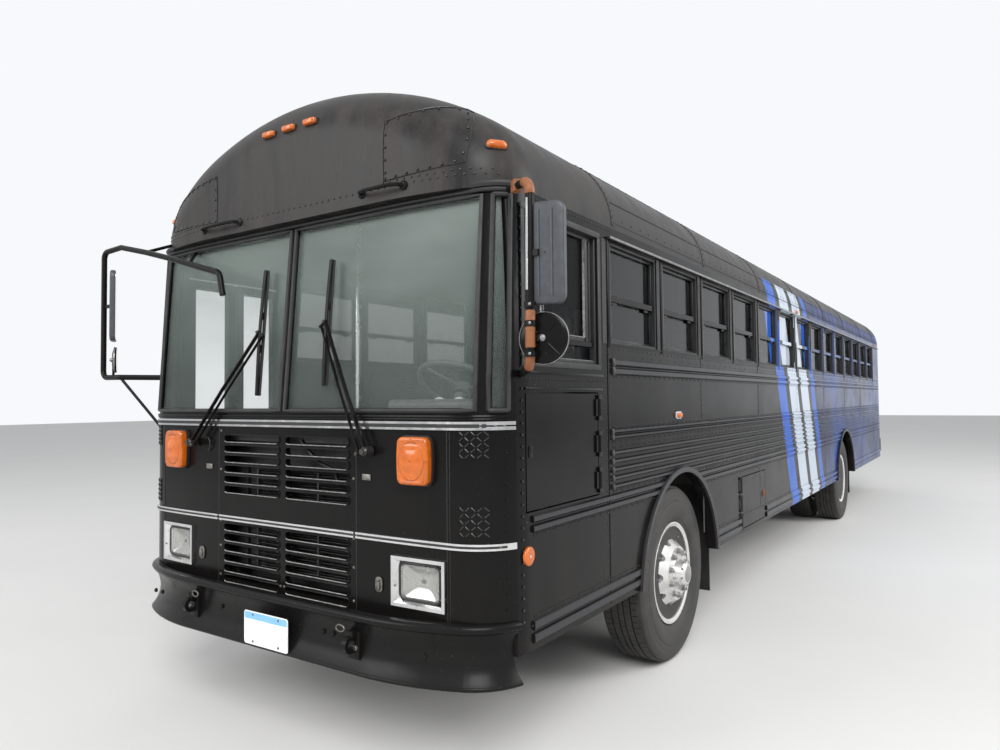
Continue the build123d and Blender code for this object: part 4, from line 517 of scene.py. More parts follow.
class Piece:
    """Vertices and faces gathered into one mesh object."""

    def __init__(self):
        self.points, self.faces = [], []

    def add(self, points, faces):
        base = len(self.points)
        self.points.extend(tuple(p) for p in points)
        self.faces.extend(tuple(i + base for i in face) for face in faces)
        return self

    def skin(self, rings, loop=False, first=True, last=True):
        """Wall through rings of points: a loop, or capped at its ends."""
        sides, count = len(rings[0]), len(rings)
        faces = []
        for i in range(count if loop else count - 1):
            low, high = i * sides, (i + 1) % count * sides
            faces += [(low + j, low + (j + 1) % sides, high + (j + 1) % sides, high + j) for j in range(sides)]
        if first and not loop:
            faces.append(tuple(reversed(range(sides))))
        if last and not loop:
            faces.append(tuple(range((count - 1) * sides, count * sides)))
        return self.add([p for ring in rings for p in ring], faces)

    def box(self, x, y, z, turn=None):
        """Box between limits on each axis, turned about its middle."""
        corners = [Vector((a, b, c)) for a in x for b in y for c in z]
        if turn:
            middle = Vector((sum(x) / 2, sum(y) / 2, sum(z) / 2))
            corners = [turn @ (c - middle) + middle for c in corners]
        return self.add(corners, BOX_FACES)

    def tube(self, path, radius, sides=10, closed=False, flat=1.0):
        """Tube along points, with a section that can be flattened."""
        path = [Vector(p) for p in path]
        count, side, rings = len(path), None, []
        for i, point in enumerate(path):
            before, after = (i - 1, (i + 1) % count) if closed else (max(i - 1, 0), min(i + 1, count - 1))
            ahead = (path[after] - path[before]).normalized()
            if side is None:
                side = ahead.cross(UP)
                if side.length < 1e-3:
                    side = ahead.cross(BACK)
            else:
                side = side - side.dot(ahead) * ahead
            side.normalize()
            over = side.cross(ahead)
            rings.append([point + radius * (c * side + s * flat * over) for c, s in circle(sides)])
        return self.skin(rings, closed)

    def stay(self, first, last, radius, sides=8, shift=(0, 0, 0)):
        """Tube between two points, with a middle that can be shifted."""
        return self.tube([first, first.lerp(last, 0.5) + Vector(shift), last], radius, sides)

    def lathe(self, profile, centre, axis, sides=32):
        """Turned shape from points of distance along the axis and radius."""
        axis, centre = Vector(axis).normalized(), Vector(centre)
        side = axis.orthogonal().normalized()
        over = axis.cross(side)
        turn = circle(sides)
        rings = [[centre + along * axis + radius * (c * side + s * over) for c, s in turn] for along, radius in profile]
        return self.skin(rings, False, profile[0][1] > 0, profile[-1][1] > 0)

    def grid(self, rows, closed=False):
        """Sheet of quads over rows of points, each row closed or open."""
        if closed:
            rows = [row + row[:1] for row in rows]
        width = len(rows[0])
        starts = [i * width + j for i in range(len(rows) - 1) for j in range(width - 1)]
        faces = [(a, a + 1, a + width + 1, a + width) for a in starts]
        return self.add([p for row in rows for p in row], faces)

    def dome(self, centre, along, over, out, outline, rises):
        """Sheet over an outline: rises are the outline's scale and the distance out."""
        rings = [[centre + along * a * s + over * b * s + out * rise for a, b in outline] for s, rise in rises]
        return self.grid(rings, True)

    def slab(self, outline, out, thick):
        """Flat plate from a closed outline, thickened along a direction."""
        outline = [Vector(p) for p in outline]
        return self.skin([outline, [p + Vector(out) * thick for p in outline]])

    def rivet(self, point, out, radius=0.0055, rise=0.003):
        """Low six-sided dome."""
        return self.lathe(((-0.0005, radius), (rise * 0.6, radius * 0.8), (rise, radius * 0.3)), point, out, 6)

    def stud(self, point, out, radius=0.0055, rise=0.003):
        """Smallest rivet head: a six-sided stump."""
        return self.lathe(((-0.0005, radius), (rise, radius * 0.55)), point, out, 6)

    def studs(self, first, last, pitch, out, radius=0.0055, rise=0.003):
        """Row of rivet heads between two points at about a pitch."""
        count = max(1, round((last - first).length / pitch))
        for number in range(count + 1):
            self.stud(first.lerp(last, number / count), out, radius, rise)

    def build(self, name, paint, body="coach", angle=35, bevel=0.0, segments=2, thickness=0.0):
        """Finished object that rides on a body."""
        mesh = bpy.data.meshes.new(name)
        mesh.from_pydata(self.points, [], self.faces)
        mesh.validate()
        mesh.shade_smooth()
        mesh.materials.append(PAINT[paint].material)
        item = shown(name, mesh)
        if thickness:
            solid = item.modifiers.new("solid", "SOLIDIFY")
            solid.thickness, solid.offset = thickness, 0
        if bevel:
            cut = item.modifiers.new("bevel", "BEVEL")
            cut.width, cut.segments = bevel, segments
            cut.limit_method, cut.angle_limit = "ANGLE", math.radians(40)
        if item.modifiers:
            depsgraph = bpy.context.evaluated_depsgraph_get()
            item.data = bpy.data.meshes.new_from_object(item.evaluated_get(depsgraph))
            item.modifiers.clear()
            item.data.name = name
        item.data.set_sharp_from_angle(angle=math.radians(angle))
        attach(item, body)
        return item


def bent(points, radius, steps=6):
    """Path through points with each corner rounded to one radius."""
    points = [Vector(p) for p in points]
    path = [points[0]]
    for before, corner, after in zip(points, points[1:], points[2:]):
        back, ahead = (before - corner).normalized(), (after - corner).normalized()
        half = back.angle(ahead) / 2
        middle = corner + (back + ahead).normalized() * radius / math.sin(half)
        first, last = (corner + way * radius / math.tan(half) - middle for way in (back, ahead))
        path += [middle + first.slerp(last, step / steps).normalized() * radius for step in range(steps + 1)]
    return path + [points[-1]]


def rounded(width, height, radius, steps=5):
    """Corners of a rounded rectangle round the origin, in two dimensions."""
    points = []
    for number, (sx, sy) in enumerate(((1, 1), (-1, 1), (-1, -1), (1, -1))):
        for a in spread(math.radians(90 * number), math.radians(90 * number + 90), steps):
            x, y = sx * (width / 2 - radius), sy * (height / 2 - radius)
            points.append((x + radius * math.cos(a), y + radius * math.sin(a)))
    return points


# Shape of the nose, as in the frame: a flat, a bow and a corner on each side, ruled from sill to header
NOSE_FLAT = 0.6
SILL_Z = 1.53
SILL_NOSE = (0.0, 5.73, 4)
HEADER_NOSE = (0.079, 4.0, 7)


def plan_point(plan, u):
    """Point of a nose plan: u runs over the flat to 1, the bow to 2 and the corner to 3."""
    lag, bow, angle = plan
    lean = math.radians(angle)
    corner = (HALF_WIDTH - NOSE_FLAT - bow * math.sin(lean)) / (1 - math.sin(lean))
    if u <= 1:
        return NOSE_FLAT * u, lag
    if u <= 2:
        a = lean * (u - 1)
        return NOSE_FLAT + bow * math.sin(a), lag + bow * (1 - math.cos(a))
    a = lean + (math.pi / 2 - lean) * (u - 2)
    centre = lag + bow * (1 - math.cos(lean)) + corner * math.cos(lean)
    return HALF_WIDTH - corner + corner * math.sin(a), centre - corner * math.cos(a)


def nose_uv(side, u, z, out=0.0):
    """Point on the nose's skin, moved out along its normal."""
    share = min(max((z - SILL_Z) / (CANT_Z - SILL_Z), 0), 1)
    (x, y), (x_high, y_high) = plan_point(SILL_NOSE, u), plan_point(HEADER_NOSE, u)
    point = spot(side * (x + (x_high - x) * share), y + (y_high - y) * share, z)
    if not out:
        return point
    step = 1e-3
    along = (nose_uv(side, min(u + step, 3), z) - nose_uv(side, max(u - step, 0), z)).normalized()
    rise = (nose_uv(side, u, z + step) - nose_uv(side, u, z - step)).normalized()
    normal = along.cross(rise) * side
    if normal.y > 0.05:
        normal = -normal
    return point + normal.normalized() * out


def nose(x, z, out=0.0):
    """Point on the nose's skin at X and Z, moved out along its normal."""
    side = -1 if x < 0 else 1
    low, high = 0.0, 3.0
    for _ in range(30):
        u = (low + high) / 2
        if abs(nose_uv(side, u, z).x) < abs(x):
            low = u
        else:
            high = u
    return nose_uv(side, u, z, out)


def nose_out(x, z):
    """Outward direction of the nose's skin."""
    return (nose(x, z, 0.1) - nose(x, z)).normalized()


def nose_frame(x, z):
    """Point, right, up and outward directions on the nose's skin."""
    outward = nose_out(x, z)
    right = UP.cross(-outward).normalized()
    return nose(x, z), -right if right.x < 0 else right, UP, outward


def roof_point(side, angle, station, out=0.0):
    """Point on the roof's corner or crown: angle 0 at the cant rail, 90 at the top."""
    centre_x, rise = HALF_WIDTH - ROOF_CORNER, ROOF_Z - CANT_Z
    crown = (ROOF_CORNER**2 - centre_x**2 - rise**2) / (2 * (ROOF_CORNER - rise))
    lean = math.degrees(math.atan2(CANT_Z - ROOF_Z + crown, centre_x))
    a = math.radians(angle)
    radius, x, z = (ROOF_CORNER, centre_x, CANT_Z) if angle <= lean else (crown, 0, ROOF_Z - crown)
    radius += out
    return spot(side * (x + radius * math.cos(a)), station, z + radius * math.sin(a))


# Front

NOSE_EDGE = 1.19


def along_nose(first, last, z, out, steps=24):
    """Points round the nose at one height, between two values of X."""
    return [nose(x, z, out) for x in spread(first, last, steps)]


def windshield_rubber():
    """Black gaskets round each pane, the gutter over them and the ledge under them."""
    gasket = Piece()
    low, high, steps, upright_steps = 1.542, 2.418, 18, 6
    for side in SIDES:
        for inner, outer in ((0.017, 1.098), (1.14, 1.192)):
            loop = along_nose(side * inner, side * outer, low, 0.002, steps)[:-1]
            loop += [nose(side * outer, z, 0.002) for z in spread(low, high, upright_steps)[:-1]]
            loop += along_nose(side * outer, side * inner, high, 0.002, steps)[:-1]
            loop += [nose(side * inner, z, 0.002) for z in spread(high, low, upright_steps)[:-1]]
            gasket.tube(loop, 0.011, 8, closed=True)
    gasket.build("windshield_gasket", "rubber")
    # lines round the nose: height, radius, distance out
    for name, paint, lines in (
        ("cap_gutter", "rubber", ((2.462, 0.016, 0.008), (2.438, 0.01, 0.008))),
        ("cowl_ledge", "front", ((1.518, 0.008, 0.003), (1.507, 0.005, 0.004))),
    ):
        piece = Piece()
        for z, radius, out in lines:
            piece.tube(along_nose(-NOSE_EDGE, NOSE_EDGE, z, out, 60), radius, 8)
        piece.build(name, paint)


def ribbon(piece, first, last, low, high, out, steps=30):
    """Flat band on the nose between two heights."""
    return piece.grid([along_nose(first, last, z, out, steps) for z in (low, high)])


LOWER_TRIM_Z, UPPER_TRIM_Z = 1.003, 1.481


def trim_lines():
    """Dark grooves and screws in the bright strips."""
    groove, screws = Piece(), Piece()
    for first, last in ((-1.186, -0.49), (-0.476, 0.476), (0.49, 1.186)):
        ribbon(groove, first, last, 0.9985, 1.0075, 0.0098)
    ribbon(groove, -1.17, 1.135, 1.4735, 1.4885, 0.0094, 60)
    groove.build("trim_grooves", "rubber", thickness=0.0012)
    for z, out, radius, places in (
        (LOWER_TRIM_Z, 0.0105, 0.005, (-1.17, -0.5, 0.5, 1.17)),
        (UPPER_TRIM_Z, 0.009, 0.006, (-1.178, 1.160, 1.182)),
    ):
        for x in places:
            screws.rivet(nose(x, z, out), nose_out(x, z), radius, 0.003)
    screws.build("trim_screws", "screw")


# Slots of the grille: middle and length of a column, middle height of a group
SLOT_COLUMNS = ((-0.23, 0.424), (0.236, 0.424))
SLOT_GROUPS = (1.275, 0.830)
SLOT_HEIGHT, SLOT_PITCH, SLOTS_HIGH = 0.038, 0.051, 6
HOSE = ((0.08, 0.045, 1.40), (0.11, 0.045, 1.37), (0.2, 0.045, 1.30), (0.30, 0.05, 1.27), (0.33, 0.05, 1.20))


def grille():
    """Rolled lips round the slots with a painted highlight along their lower edge, and a finned radiator core in front
    of a black sheet of painted shade.
    """
    lips, bright = Piece(), Piece()
    for middle, length in SLOT_COLUMNS:
        for group in SLOT_GROUPS:
            for number in range(SLOTS_HIGH):
                z = group + (number - (SLOTS_HIGH - 1) / 2) * SLOT_PITCH
                outline = rounded(length, SLOT_HEIGHT, SLOT_HEIGHT / 2 - 0.0005)
                lips.tube([spot(middle + a, -0.0015, z + b) for a, b in outline], 0.0036, 6, closed=True)
                # painted highlight: a pale tube along the lower edge of each slot
                reach, low = length / 2 - SLOT_HEIGHT * 0.45, z - SLOT_HEIGHT / 2
                line = [spot(middle - reach - 0.010, -0.004, low + 0.0045)]
                bright.tube(line + [spot(middle + s * reach, -0.0045, low) for s in SIDES], 0.0024, 6)
    lips.build("slot_lips", "front")
    bright.build("slot_edge_highlights", "edge")
    fins, shade_sheet, hose, screws = Piece(), Piece(), Piece(), Piece()
    turn = Matrix.Rotation(math.radians(-28), 3, "X")
    for number in range(40):
        z = 0.76 + number * 0.0124
        fins.box((-0.235, 0.395), (at(0.050), at(0.072)), (z, z + 0.0014), turn)
    for x in (-0.245, -0.02, 0.19, 0.4):
        fins.box((x, x + 0.008), (at(0.046), at(0.074)), (0.75, 1.25))
    fins.build("radiator_louvres", "core_fins")
    # painted shade: a black sheet behind the radiator that stands in for the dark engine bay behind the grille
    shade_sheet.box((-0.56, 0.56), (at(0.118), at(0.122)), (0.66, 1.495))
    shade_sheet.box((-0.56, 0.56), (at(0.012), at(0.12)), (0.664, 0.668))
    for x in (-0.56, 0.556):
        shade_sheet.box((x, x + 0.004), (at(0.012), at(0.12)), (0.664, 1.495))
    shade_sheet.build("grille_shade_sheet", "rubber")
    hose.tube(bent([spot(*p) for p in HOSE], 0.03), 0.010, 8)
    hose.build("radiator_hose", "rubber")
    for x, heights in (
        (-0.472, (0.715, 0.86, 0.985, 1.245, 1.44)),
        (0.472, (0.715, 0.86, 0.985, 1.245, 1.44)),
        (-0.012, (0.715,)),
        (0.014, (0.715,)),
    ):
        for z in heights:
            screws.rivet(spot(x, 0, z), -BACK, 0.0075, 0.004)
    screws.build("panel_screws", "screw")


def panel_seams():
    """Dark joints and screw rows of the nose panels."""
    seams, screws = Piece(), Piece()
    for side in SIDES:
        for x in (0.488, 0.98):
            for ends in ((0.664, 1.0), (1.012, 1.46)):
                seams.tube([nose(side * x, z, -0.0005) for z in ends], 0.0022, 6)
        seams.tube([nose(side * 0.994, z, 0.001) for z in (0.664, 1.46)], 0.0016, 6)
        edge = [0.69 + 0.062 * i for i in range(27)]
        for x, heights in ((0.986, (0.7, 0.78, 1.05, 1.18, 1.3, 1.42)), (1.187, edge)):
            for z in heights:
                if z <= SILL_Z and abs(z - LOWER_TRIM_Z) >= 0.02 and abs(z - UPPER_TRIM_Z) >= 0.02:
                    screws.rivet(nose(side * x, z), nose_out(side * x, z), 0.006, 0.0035)
    seams.build("panel_joints", "rubber")
    screws.build("nose_rivets", "front")


STEP_PATCH_X = (1.035, 1.146)
DIAMONDS, DIAMOND_HALF = 5, 0.0072


def tread_plate():
    """Raised-diamond step patches on the corner panels."""
    plates, bars = Piece(), Piece()
    first, last = STEP_PATCH_X
    for low, high in ((1.350, 1.462), (1.040, 1.165)):
        for side in SIDES:
            ribbon(plates, side * first, side * last, low, high, 0.0015, 8)
            for i in range(DIAMONDS):
                for j in range(DIAMONDS):
                    x = first + (last - first) * (i + 0.5) / DIAMONDS
                    z = low + (high - low) * (j + 0.5) / DIAMONDS
                    lean = DIAMOND_HALF if (i + j) % 2 else -DIAMOND_HALF
                    steps = ((-1, 0.0020), (0, 0.0044), (1, 0.0020))
                    bars.tube([nose(side * (x + s * DIAMOND_HALF), z + s * lean, out) for s, out in steps], 0.0026, 5)
    plates.build("step_plates", "front", thickness=0.003)
    bars.build("step_diamonds", "edge_dark")


def barrel(width, height, radius, bulge, steps=6):
    """Rounded outline whose upright sides have extra points and bow out."""
    points, filled = rounded(width, height, radius, steps), []
    for (x, y), (x_next, y_next) in zip(points, points[1:] + points[:1]):
        filled.append((x, y))
        if abs(x_next - x) < 1e-6 and abs(y_next - y) > radius:
            filled += [(x, y + (y_next - y) * k / 6) for k in range(1, 6)]
    return [(x * (1 + bulge * (1 - (2 * y / height) ** 2)), y) for x, y in filled]


TURN_LAMP = (0.835, 1.338, 0.150, 0.196)
TURN_BULGE = 0.075
# Box and domed middle of a turn lamp: scale of the outline and distance out
TURN_BOX = (
    (0.975, 0.010), (1.0, 0.020), (1.0, 0.034), (0.975, 0.042), (0.93, 0.0455), (0.87, 0.0465), (0.83, 0.0445),
)
TURN_DOME = ((0.80, 0.0465), (0.76, 0.0480), (0.70, 0.0465), (0.5, 0.0510), (0.25, 0.0540), (0.03, 0.0550))
TURN_SCREWS = (
    (-0.062, 0.080), (0.062, 0.080), (-0.062, -0.080), (0.062, -0.080),
    (0, 0.088), (0, -0.088), (-0.073, 0), (0.073, 0),
)


def turn_lamps():
    """Amber lenses: a barrel-shaped box with a moulded ring and a domed middle on a black pad."""
    lenses, pads, dots = Piece(), Piece(), Piece()
    lamp_x, lamp_z, wide, high = TURN_LAMP
    for side in SIDES:
        middle, right, up, outward = nose_frame(side * lamp_x, lamp_z)

        def face(a, b, out):
            return middle + right * a + up * b + outward * out

        rings = [[face(a, b, out) for a, b in barrel(wide * s, high * s, 0.022, TURN_BULGE)] for s, out in TURN_BOX]
        turns = [math.atan2(b / high, a / wide) for a, b in barrel(wide, high, 0.022, TURN_BULGE)]
        for s, out in TURN_DOME:
            rings.append([face(0.081 * s * math.cos(a), 0.100 * s * math.sin(a), out) for a in turns])
        lenses.grid(rings, True)
        pads.slab([face(a, b, -0.004) for a, b in barrel(0.160, 0.206, 0.026, TURN_BULGE)], outward, 0.016)
        for a, b in TURN_SCREWS:
            dots.rivet(face(a, b, 0.0455), outward, 0.0038, 0.002)
        dots.tube([face(0.0635 * c, 0.0785 * s, 0.0468) for c, s in circle(48)], 0.0011, 5, closed=True)
    item = lenses.build("turn_lenses", "amber", angle=40)
    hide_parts("amber_lamps")
    pads.build("turn_pads", "rubber")
    dots.build("turn_screws", "rust_dot")


BEAM = (0.838, 0.838, 0.198, 0.14)
FLUTE_PITCH = 0.0145
BEZEL_SCREWS = ((0.118, 0.065), (-0.118, -0.02), (0.118, -0.05), (0, -0.089))


def headlamps():
    """Sealed beams: a fluted cover over a bright bowl, in a rubber surround, with screws on the bezel."""
    covers, bowls, seals, clips = Piece(), Piece(), Piece(), Piece()
    beam_x, beam_z, wide, high = BEAM
    for side in SIDES:
        middle, right, up, outward = nose_frame(side * beam_x, beam_z)

        def face(a, b, out):
            return middle + right * a + up * b + outward * out

        def cover(u, v):
            edge = max(abs(u), abs(v))
            flute = math.cos(math.pi * u * wide / FLUTE_PITCH) if edge < 0.9 else 0
            fade = 1 if v * high / 2 > -0.005 else 0.5
            out = -0.004 + 0.012 * (1 - u**2) * (1 - v**2) + 0.0009 * flute * fade
            return face(u * wide / 2, v * high / 2, out)

        covers.grid([[cover(u, v) for u in spread(-1, 1, 34)] for v in spread(-1, 1, 16)])
        rings = []
        for share in spread(0, 1, 8):
            scale = 1 - 0.86 * share
            outline = rounded(0.19 * scale, 0.132 * scale, 0.02 * (1 - 0.8 * share) + 0.004, 4)
            rings.append([face(a, b, -0.012 - 0.022 * math.sin(share * math.pi / 2)) for a, b in outline])
        bowls.grid(rings, True)
        seals.tube([face(a, b, -0.006) for a, b in rounded(0.206, 0.148, 0.026, 6)], 0.0055, 8, closed=True)
        for a, b in BEZEL_SCREWS:
            clips.rivet(face(a, b, 0.008), outward, 0.0055, 0.007)
    item = covers.build("beam_covers", "beam_cover", angle=60)
    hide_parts("headlamp_lenses")
    bowls.build("beam_bowls", "bowl", angle=60)
    seals.build("beam_seals", "rubber")
    clips.build("bezel_screws", "screw")


def small_fittings():
    """Blank badges and hood latches on the nose."""
    plates, latch = Piece(), Piece()
    for x in (-0.566, 0.552):
        plates.slab([spot(x + a, -0.0005, 1.256 + b) for a, b in rounded(0.05, 0.026, 0.003, 2)], -BACK, 0.004)
    plates.build("blank_badges", "screw", bevel=0.0012)
    for side in SIDES:
        x, z = side * 0.624, 0.808
        latch.slab([spot(x + a, -0.001, z + b) for a, b in rounded(0.04, 0.064, 0.016)], -BACK, 0.006)
        latch.slab([spot(x + a, -0.006, z + b - 0.004) for a, b in rounded(0.022, 0.036, 0.008, 4)], -BACK, 0.009)
        latch.lathe(((0.006, 0.006), (0.012, 0.006), (0.013, 0.004)), spot(x, 0, z + 0.02), -BACK, 12)
    latch.build("hood_latches", "screw", bevel=0.0015)


# Wipers: side, pivot X and Z, blade X, ends of the blade
WIPERS = ((-1, 0.672, 1.378, 0.165, 1.615, 2.235), (1, 0.585, 1.370, 0.300, 1.655, 2.235))
GLASS_LEAN = HEADER_NOSE[0] / (CANT_Z - SILL_Z)
WASHER_HOSE = (
    (-0.6, 1.4, 0.006), (-0.565, 1.405, 0.012), (-0.545, 1.385, 0.014), (-0.55, 1.355, 0.012), (-0.57, 1.335, 0.006),
)


def wiper_blades():
    """Arms of flat bar with a spring, and jointed blades with a rubber edge."""
    arms, rubber, joints, hose = Piece(), Piece(), Piece(), Piece()
    for side, pivot_x, pivot_z, blade_x, low, high in WIPERS:

        def skin(x, z, out):
            return spot(side * x, max(z - SILL_Z, 0) * GLASS_LEAN - out, z)

        pivot, joint = skin(pivot_x, pivot_z, 0.042), skin(blade_x, (low + high) / 2, 0.04)
        for shift, radius in ((0, 0.0115), (0.036, 0.0085)):
            start = pivot + Vector((-side * shift, 0, -shift * 0.3))
            end = joint + Vector((-side * shift * 0.72, 0, -shift * 0.5))
            arms.tube([start, start.lerp(end, 0.5) - Vector((0, 0.006, 0)), end], radius, 8, flat=0.55)
        link = (Vector((side * 0.008, -0.002, 0.004)), Vector((-side * 0.034, -0.002, -0.022)))
        arms.tube([joint + end for end in link], 0.008, 8)
        joints.lathe(((-0.03, 0.022), (0.012, 0.02), (0.02, 0.013), (0.026, 0.013)), pivot, -BACK, 16)
        nut = pivot + Vector((-side * 0.036, -0.012, -0.011))
        joints.lathe(((0, 0.009), (0.012, 0.009), (0.014, 0.006)), nut, -BACK, 12)
        joints.lathe(((0, 0.008), (0.011, 0.008), (0.013, 0.005)), joint - BACK * 0.006, -BACK, 12)
        bow = [skin(blade_x, low + (high - low) * s, 0.028 + 0.008 * math.sin(math.pi * s)) for s in spread(0, 1, 12)]
        arms.tube(bow, 0.0105, 8, flat=0.6)
        xs = sorted((side * (blade_x - 0.004), side * (blade_x + 0.004)))
        for share in (0.12, 0.37, 0.63, 0.88):
            z = low + (high - low) * share
            arms.box(xs, (skin(blade_x, z, 0.032).y, skin(blade_x, z, 0.014).y), (z - 0.02, z + 0.02))
        rubber.tube([skin(blade_x, z, 0.013) for z in spread(low, high, 8)], 0.0095, 8, flat=0.8)
    item = arms.build("wiper_arms", "black")
    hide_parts("wipers")
    rubber.build("wiper_rubbers", "rubber")
    joints.build("wiper_joints", "edge_dark")
    hose.tube([nose(*p) for p in WASHER_HOSE], 0.0035, 6)
    hose.build("washer_hose", "rubber")


PLATE = (0.024, -0.1145, 0.540)
PLATE_SCREW = ((-0.002, 0.0033), (0.0005, 0.0033), (0.0008, 0.0062), (0.0028, 0.005), (0.0034, 0.0012))


def plate_detail():
    """Pale blue band, pressed rim and screws of the blank number plate."""
    band, rim, screws = Piece(), Piece(), Piece()
    middle = spot(*PLATE)
    band.slab([middle + Vector((a, 0, 0.056 + b)) for a, b in rounded(0.293, 0.032, 0.008, 4)], -BACK, 0.0006)
    band.build("plate_band", "plate_blue")
    outline = [middle + Vector((a, -0.0004, b)) for a, b in rounded(0.299, 0.146, 0.011, 6)]
    rim.tube(outline, 0.0018, 6, closed=True)
    rim.build("plate_rim", "plate")
    for sx in SIDES:
        for sz in SIDES:
            screws.lathe(PLATE_SCREW, middle + Vector((sx * 0.089, 0, sz * 0.0605)), -BACK, 10)
    screws.build("plate_screws", "screw")


def shell_finder(node):
    """Looks up the front-facing skin of a frame node at X and Z: point and normal."""
    mesh = nodes[node].data
    tree = BVHTree.FromPolygons([v.co.copy() for v in mesh.vertices], [tuple(f.vertices) for f in mesh.polygons])

    def find(x, z):
        point, normal, _, _ = tree.ray_cast(Vector((x, -8, z)), BACK)
        if point is None:
            return None, None
        return point, -normal if normal.y > 0 else normal

    return find


# Outlines of the cap's riveted patches, in X and Z
PATCHES = (
    (1, (
        (0.634, 2.533), (1.035, 2.558), (1.042, 2.66), (1.018, 2.755),
        (0.975, 2.825), (0.93, 2.853), (0.86, 2.85), (0.635, 2.800),
    )),
    (-1, ((0.544, 2.530), (1.0, 2.545), (1.03, 2.60), (1.0, 2.665), (0.94, 2.71), (0.80, 2.745), (0.547, 2.770))),
)
PATCH_PITCH = 0.03
CAP_RIVETS, CAP_RIVET_X = 59, 1.15
# Cap lamps: scale of the lens and distance out
TOP_LENS = ((1.0, 0.006), (1.0, 0.017), (0.86, 0.024), (0.4, 0.0265), (0.02, 0.027))
CORNER_LENS = ((1.0, 0.003), (0.98, 0.014), (0.8, 0.022), (0.3, 0.025), (0.02, 0.0255))
TOP_LAMP_Z, TOP_LAMP_X = 2.902, (-0.125, 0.022, 0.170)


def cap_detail():
    """Riveted patches, edge rivets, grab handles and lamps of the front cap."""
    cap = shell_finder("front_cap")
    rivets, joints, bars, amber, bases = Piece(), Piece(), Piece(), Piece(), Piece()

    def head(x, z, out, radius, rise):
        point, normal = cap(x, z)
        if point:
            rivets.rivet(point + normal * out, normal, radius, rise)

    for side, outline in PATCHES:
        line = []
        for (x, z), (x2, z2) in zip(outline, outline[1:] + outline[:1]):
            count = max(1, round(math.hypot(x2 - x, z2 - z) / PATCH_PITCH))
            line += [(x + (x2 - x) * k / count, z + (z2 - z) * k / count) for k in range(count)]
        edge = [cap(side * x, z) for x, z in line]
        joints.tube([p + n * 0.0025 for p, n in edge if p], 0.0022, 5, closed=True)
        middle_x, middle_z = (sum(values) / len(line) for values in zip(*line))
        for x, z in line[::2]:
            head(side * (x + (middle_x - x) * 0.06), z + (middle_z - z) * 0.07, 0.002, 0.0068, 0.0045)
    for x in spread(-CAP_RIVET_X, CAP_RIVET_X, CAP_RIVETS):
        head(x, 2.508, 0, 0.006, 0.004)
        if abs(x) > 0.62:
            head(x * 0.985, 2.53, 0, 0.006, 0.004)
    joints.build("patch_edges", "edge_dark")
    rivets.build("cap_rivets", "rivet")
    for first, last in ((-0.65, -0.352), (0.508, 0.747)):
        steps = ((0, 0), (0.012, 0.028), (0.05, 0.04))
        line = [(first + a, out) for a, out in steps] + [(last - a, out) for a, out in reversed(steps)]
        ends = [(*cap(x, 2.5), out) for x, out in line]
        bars.tube([p + n * out for p, n, out in ends], 0.009, 8)
        for p, n, _ in (ends[0], ends[-1]):
            bars.lathe(((0, 0.022), (0.006, 0.02), (0.01, 0.012)), p, n, 14)
    bars.build("cap_handles", "black")
    for x in TOP_LAMP_X:
        y = cap(x, TOP_LAMP_Z)[0].y
        bases.box((x - 0.044, x + 0.044), (y - 0.008, y + 0.02), (TOP_LAMP_Z - 0.015, TOP_LAMP_Z + 0.015))
        amber.dome(Vector((x, y, TOP_LAMP_Z)), ACROSS, UP, -BACK, rounded(0.082, 0.026, 0.009, 4), TOP_LENS)
    for side in SIDES:
        p, n = cap(side * 1.128, 2.632)
        along = UP.cross(n).normalized()
        over = n.cross(along)
        outline = rounded(0.088, 0.030, 0.013, 4)
        bases.slab([p + along * a * 1.12 + over * b * 1.2 - n * 0.008 for a, b in outline], n, 0.012)
        amber.dome(p, along, over, n, outline, CORNER_LENS)
    item = amber.build("roof_lenses", "amber", angle=50)
    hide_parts("amber_lamps")
    bases.build("roof_lamp_bases", "rubber", bevel=0.002)


def bumper_detail():
    """Bolts, tow brackets and their pins on the front bumper."""
    bolts, hooks, pins = Piece(), Piece(), Piece()
    for x in (-0.93, -0.87, -0.36, 0.36, 0.42, 0.93):
        bolts.lathe(((-0.004, 0.011), (0.004, 0.011), (0.007, 0.008)), spot(x, -0.072, 0.585), (0, -1, 0.1), 6)
    bolts.build("bumper_bolts", "bumper")
    for side in SIDES:
        x = side * 0.56
        hooks.box((x - 0.032, x + 0.032), (at(-0.092), at(-0.06)), (0.51, 0.625))
        hooks.box((x - 0.02, x + 0.02), (at(-0.118), at(-0.086)), (0.6, 0.63))
        loop = [spot(x - side * 0.05 + 0.024 * c, -0.118, 0.636 + 0.014 * s) for c, s in circle(13)]
        pins.tube(loop, 0.0035, 6, closed=True)
        pins.lathe(((0, 0.011), (0.008, 0.011), (0.011, 0.007)), spot(x + side * 0.018, -0.092, 0.56), -BACK, 10)
    hooks.build("tow_brackets", "black", bevel=0.004)
    pins.build("tow_pins", "screw")


# Sides


def flank(side, station, z, out=0.0):
    """Point on a flank's flat skin."""
    return spot(side * (HALF_WIDTH + out), station, z)


def bar(piece, side, stations, heights, out, thick):
    """Flat bar on a flank, between two distances out from the skin."""
    xs = sorted((side * (HALF_WIDTH + out), side * (HALF_WIDTH + out + thick)))
    return piece.box(xs, [at(s) for s in stations], heights)


def ring(piece, side, stations, heights, wide, out, thick):
    """Four bars round an opening, inside its edges."""
    (first, last), (low, high) = stations, heights
    for z in ((high - wide, high), (low, low + wide)):
        bar(piece, side, stations, z, out, thick)
    for start in (first, last - wide):
        bar(piece, side, (start, start + wide), (low + wide, high - wide), out, thick)


def row(piece, side, first, last, pitch, radius=0.0055, rise=0.003, out=0.0):
    """Rivets on a flank between two points of station and Z."""
    piece.studs(flank(side, *first, out), flank(side, *last, out), pitch, ACROSS * side, radius, rise)


POSTS = [FIRST_POST + number * WINDOW_PITCH for number in range(WINDOWS + 1)]
MID_RAIL_Z = (2.08, 2.11)
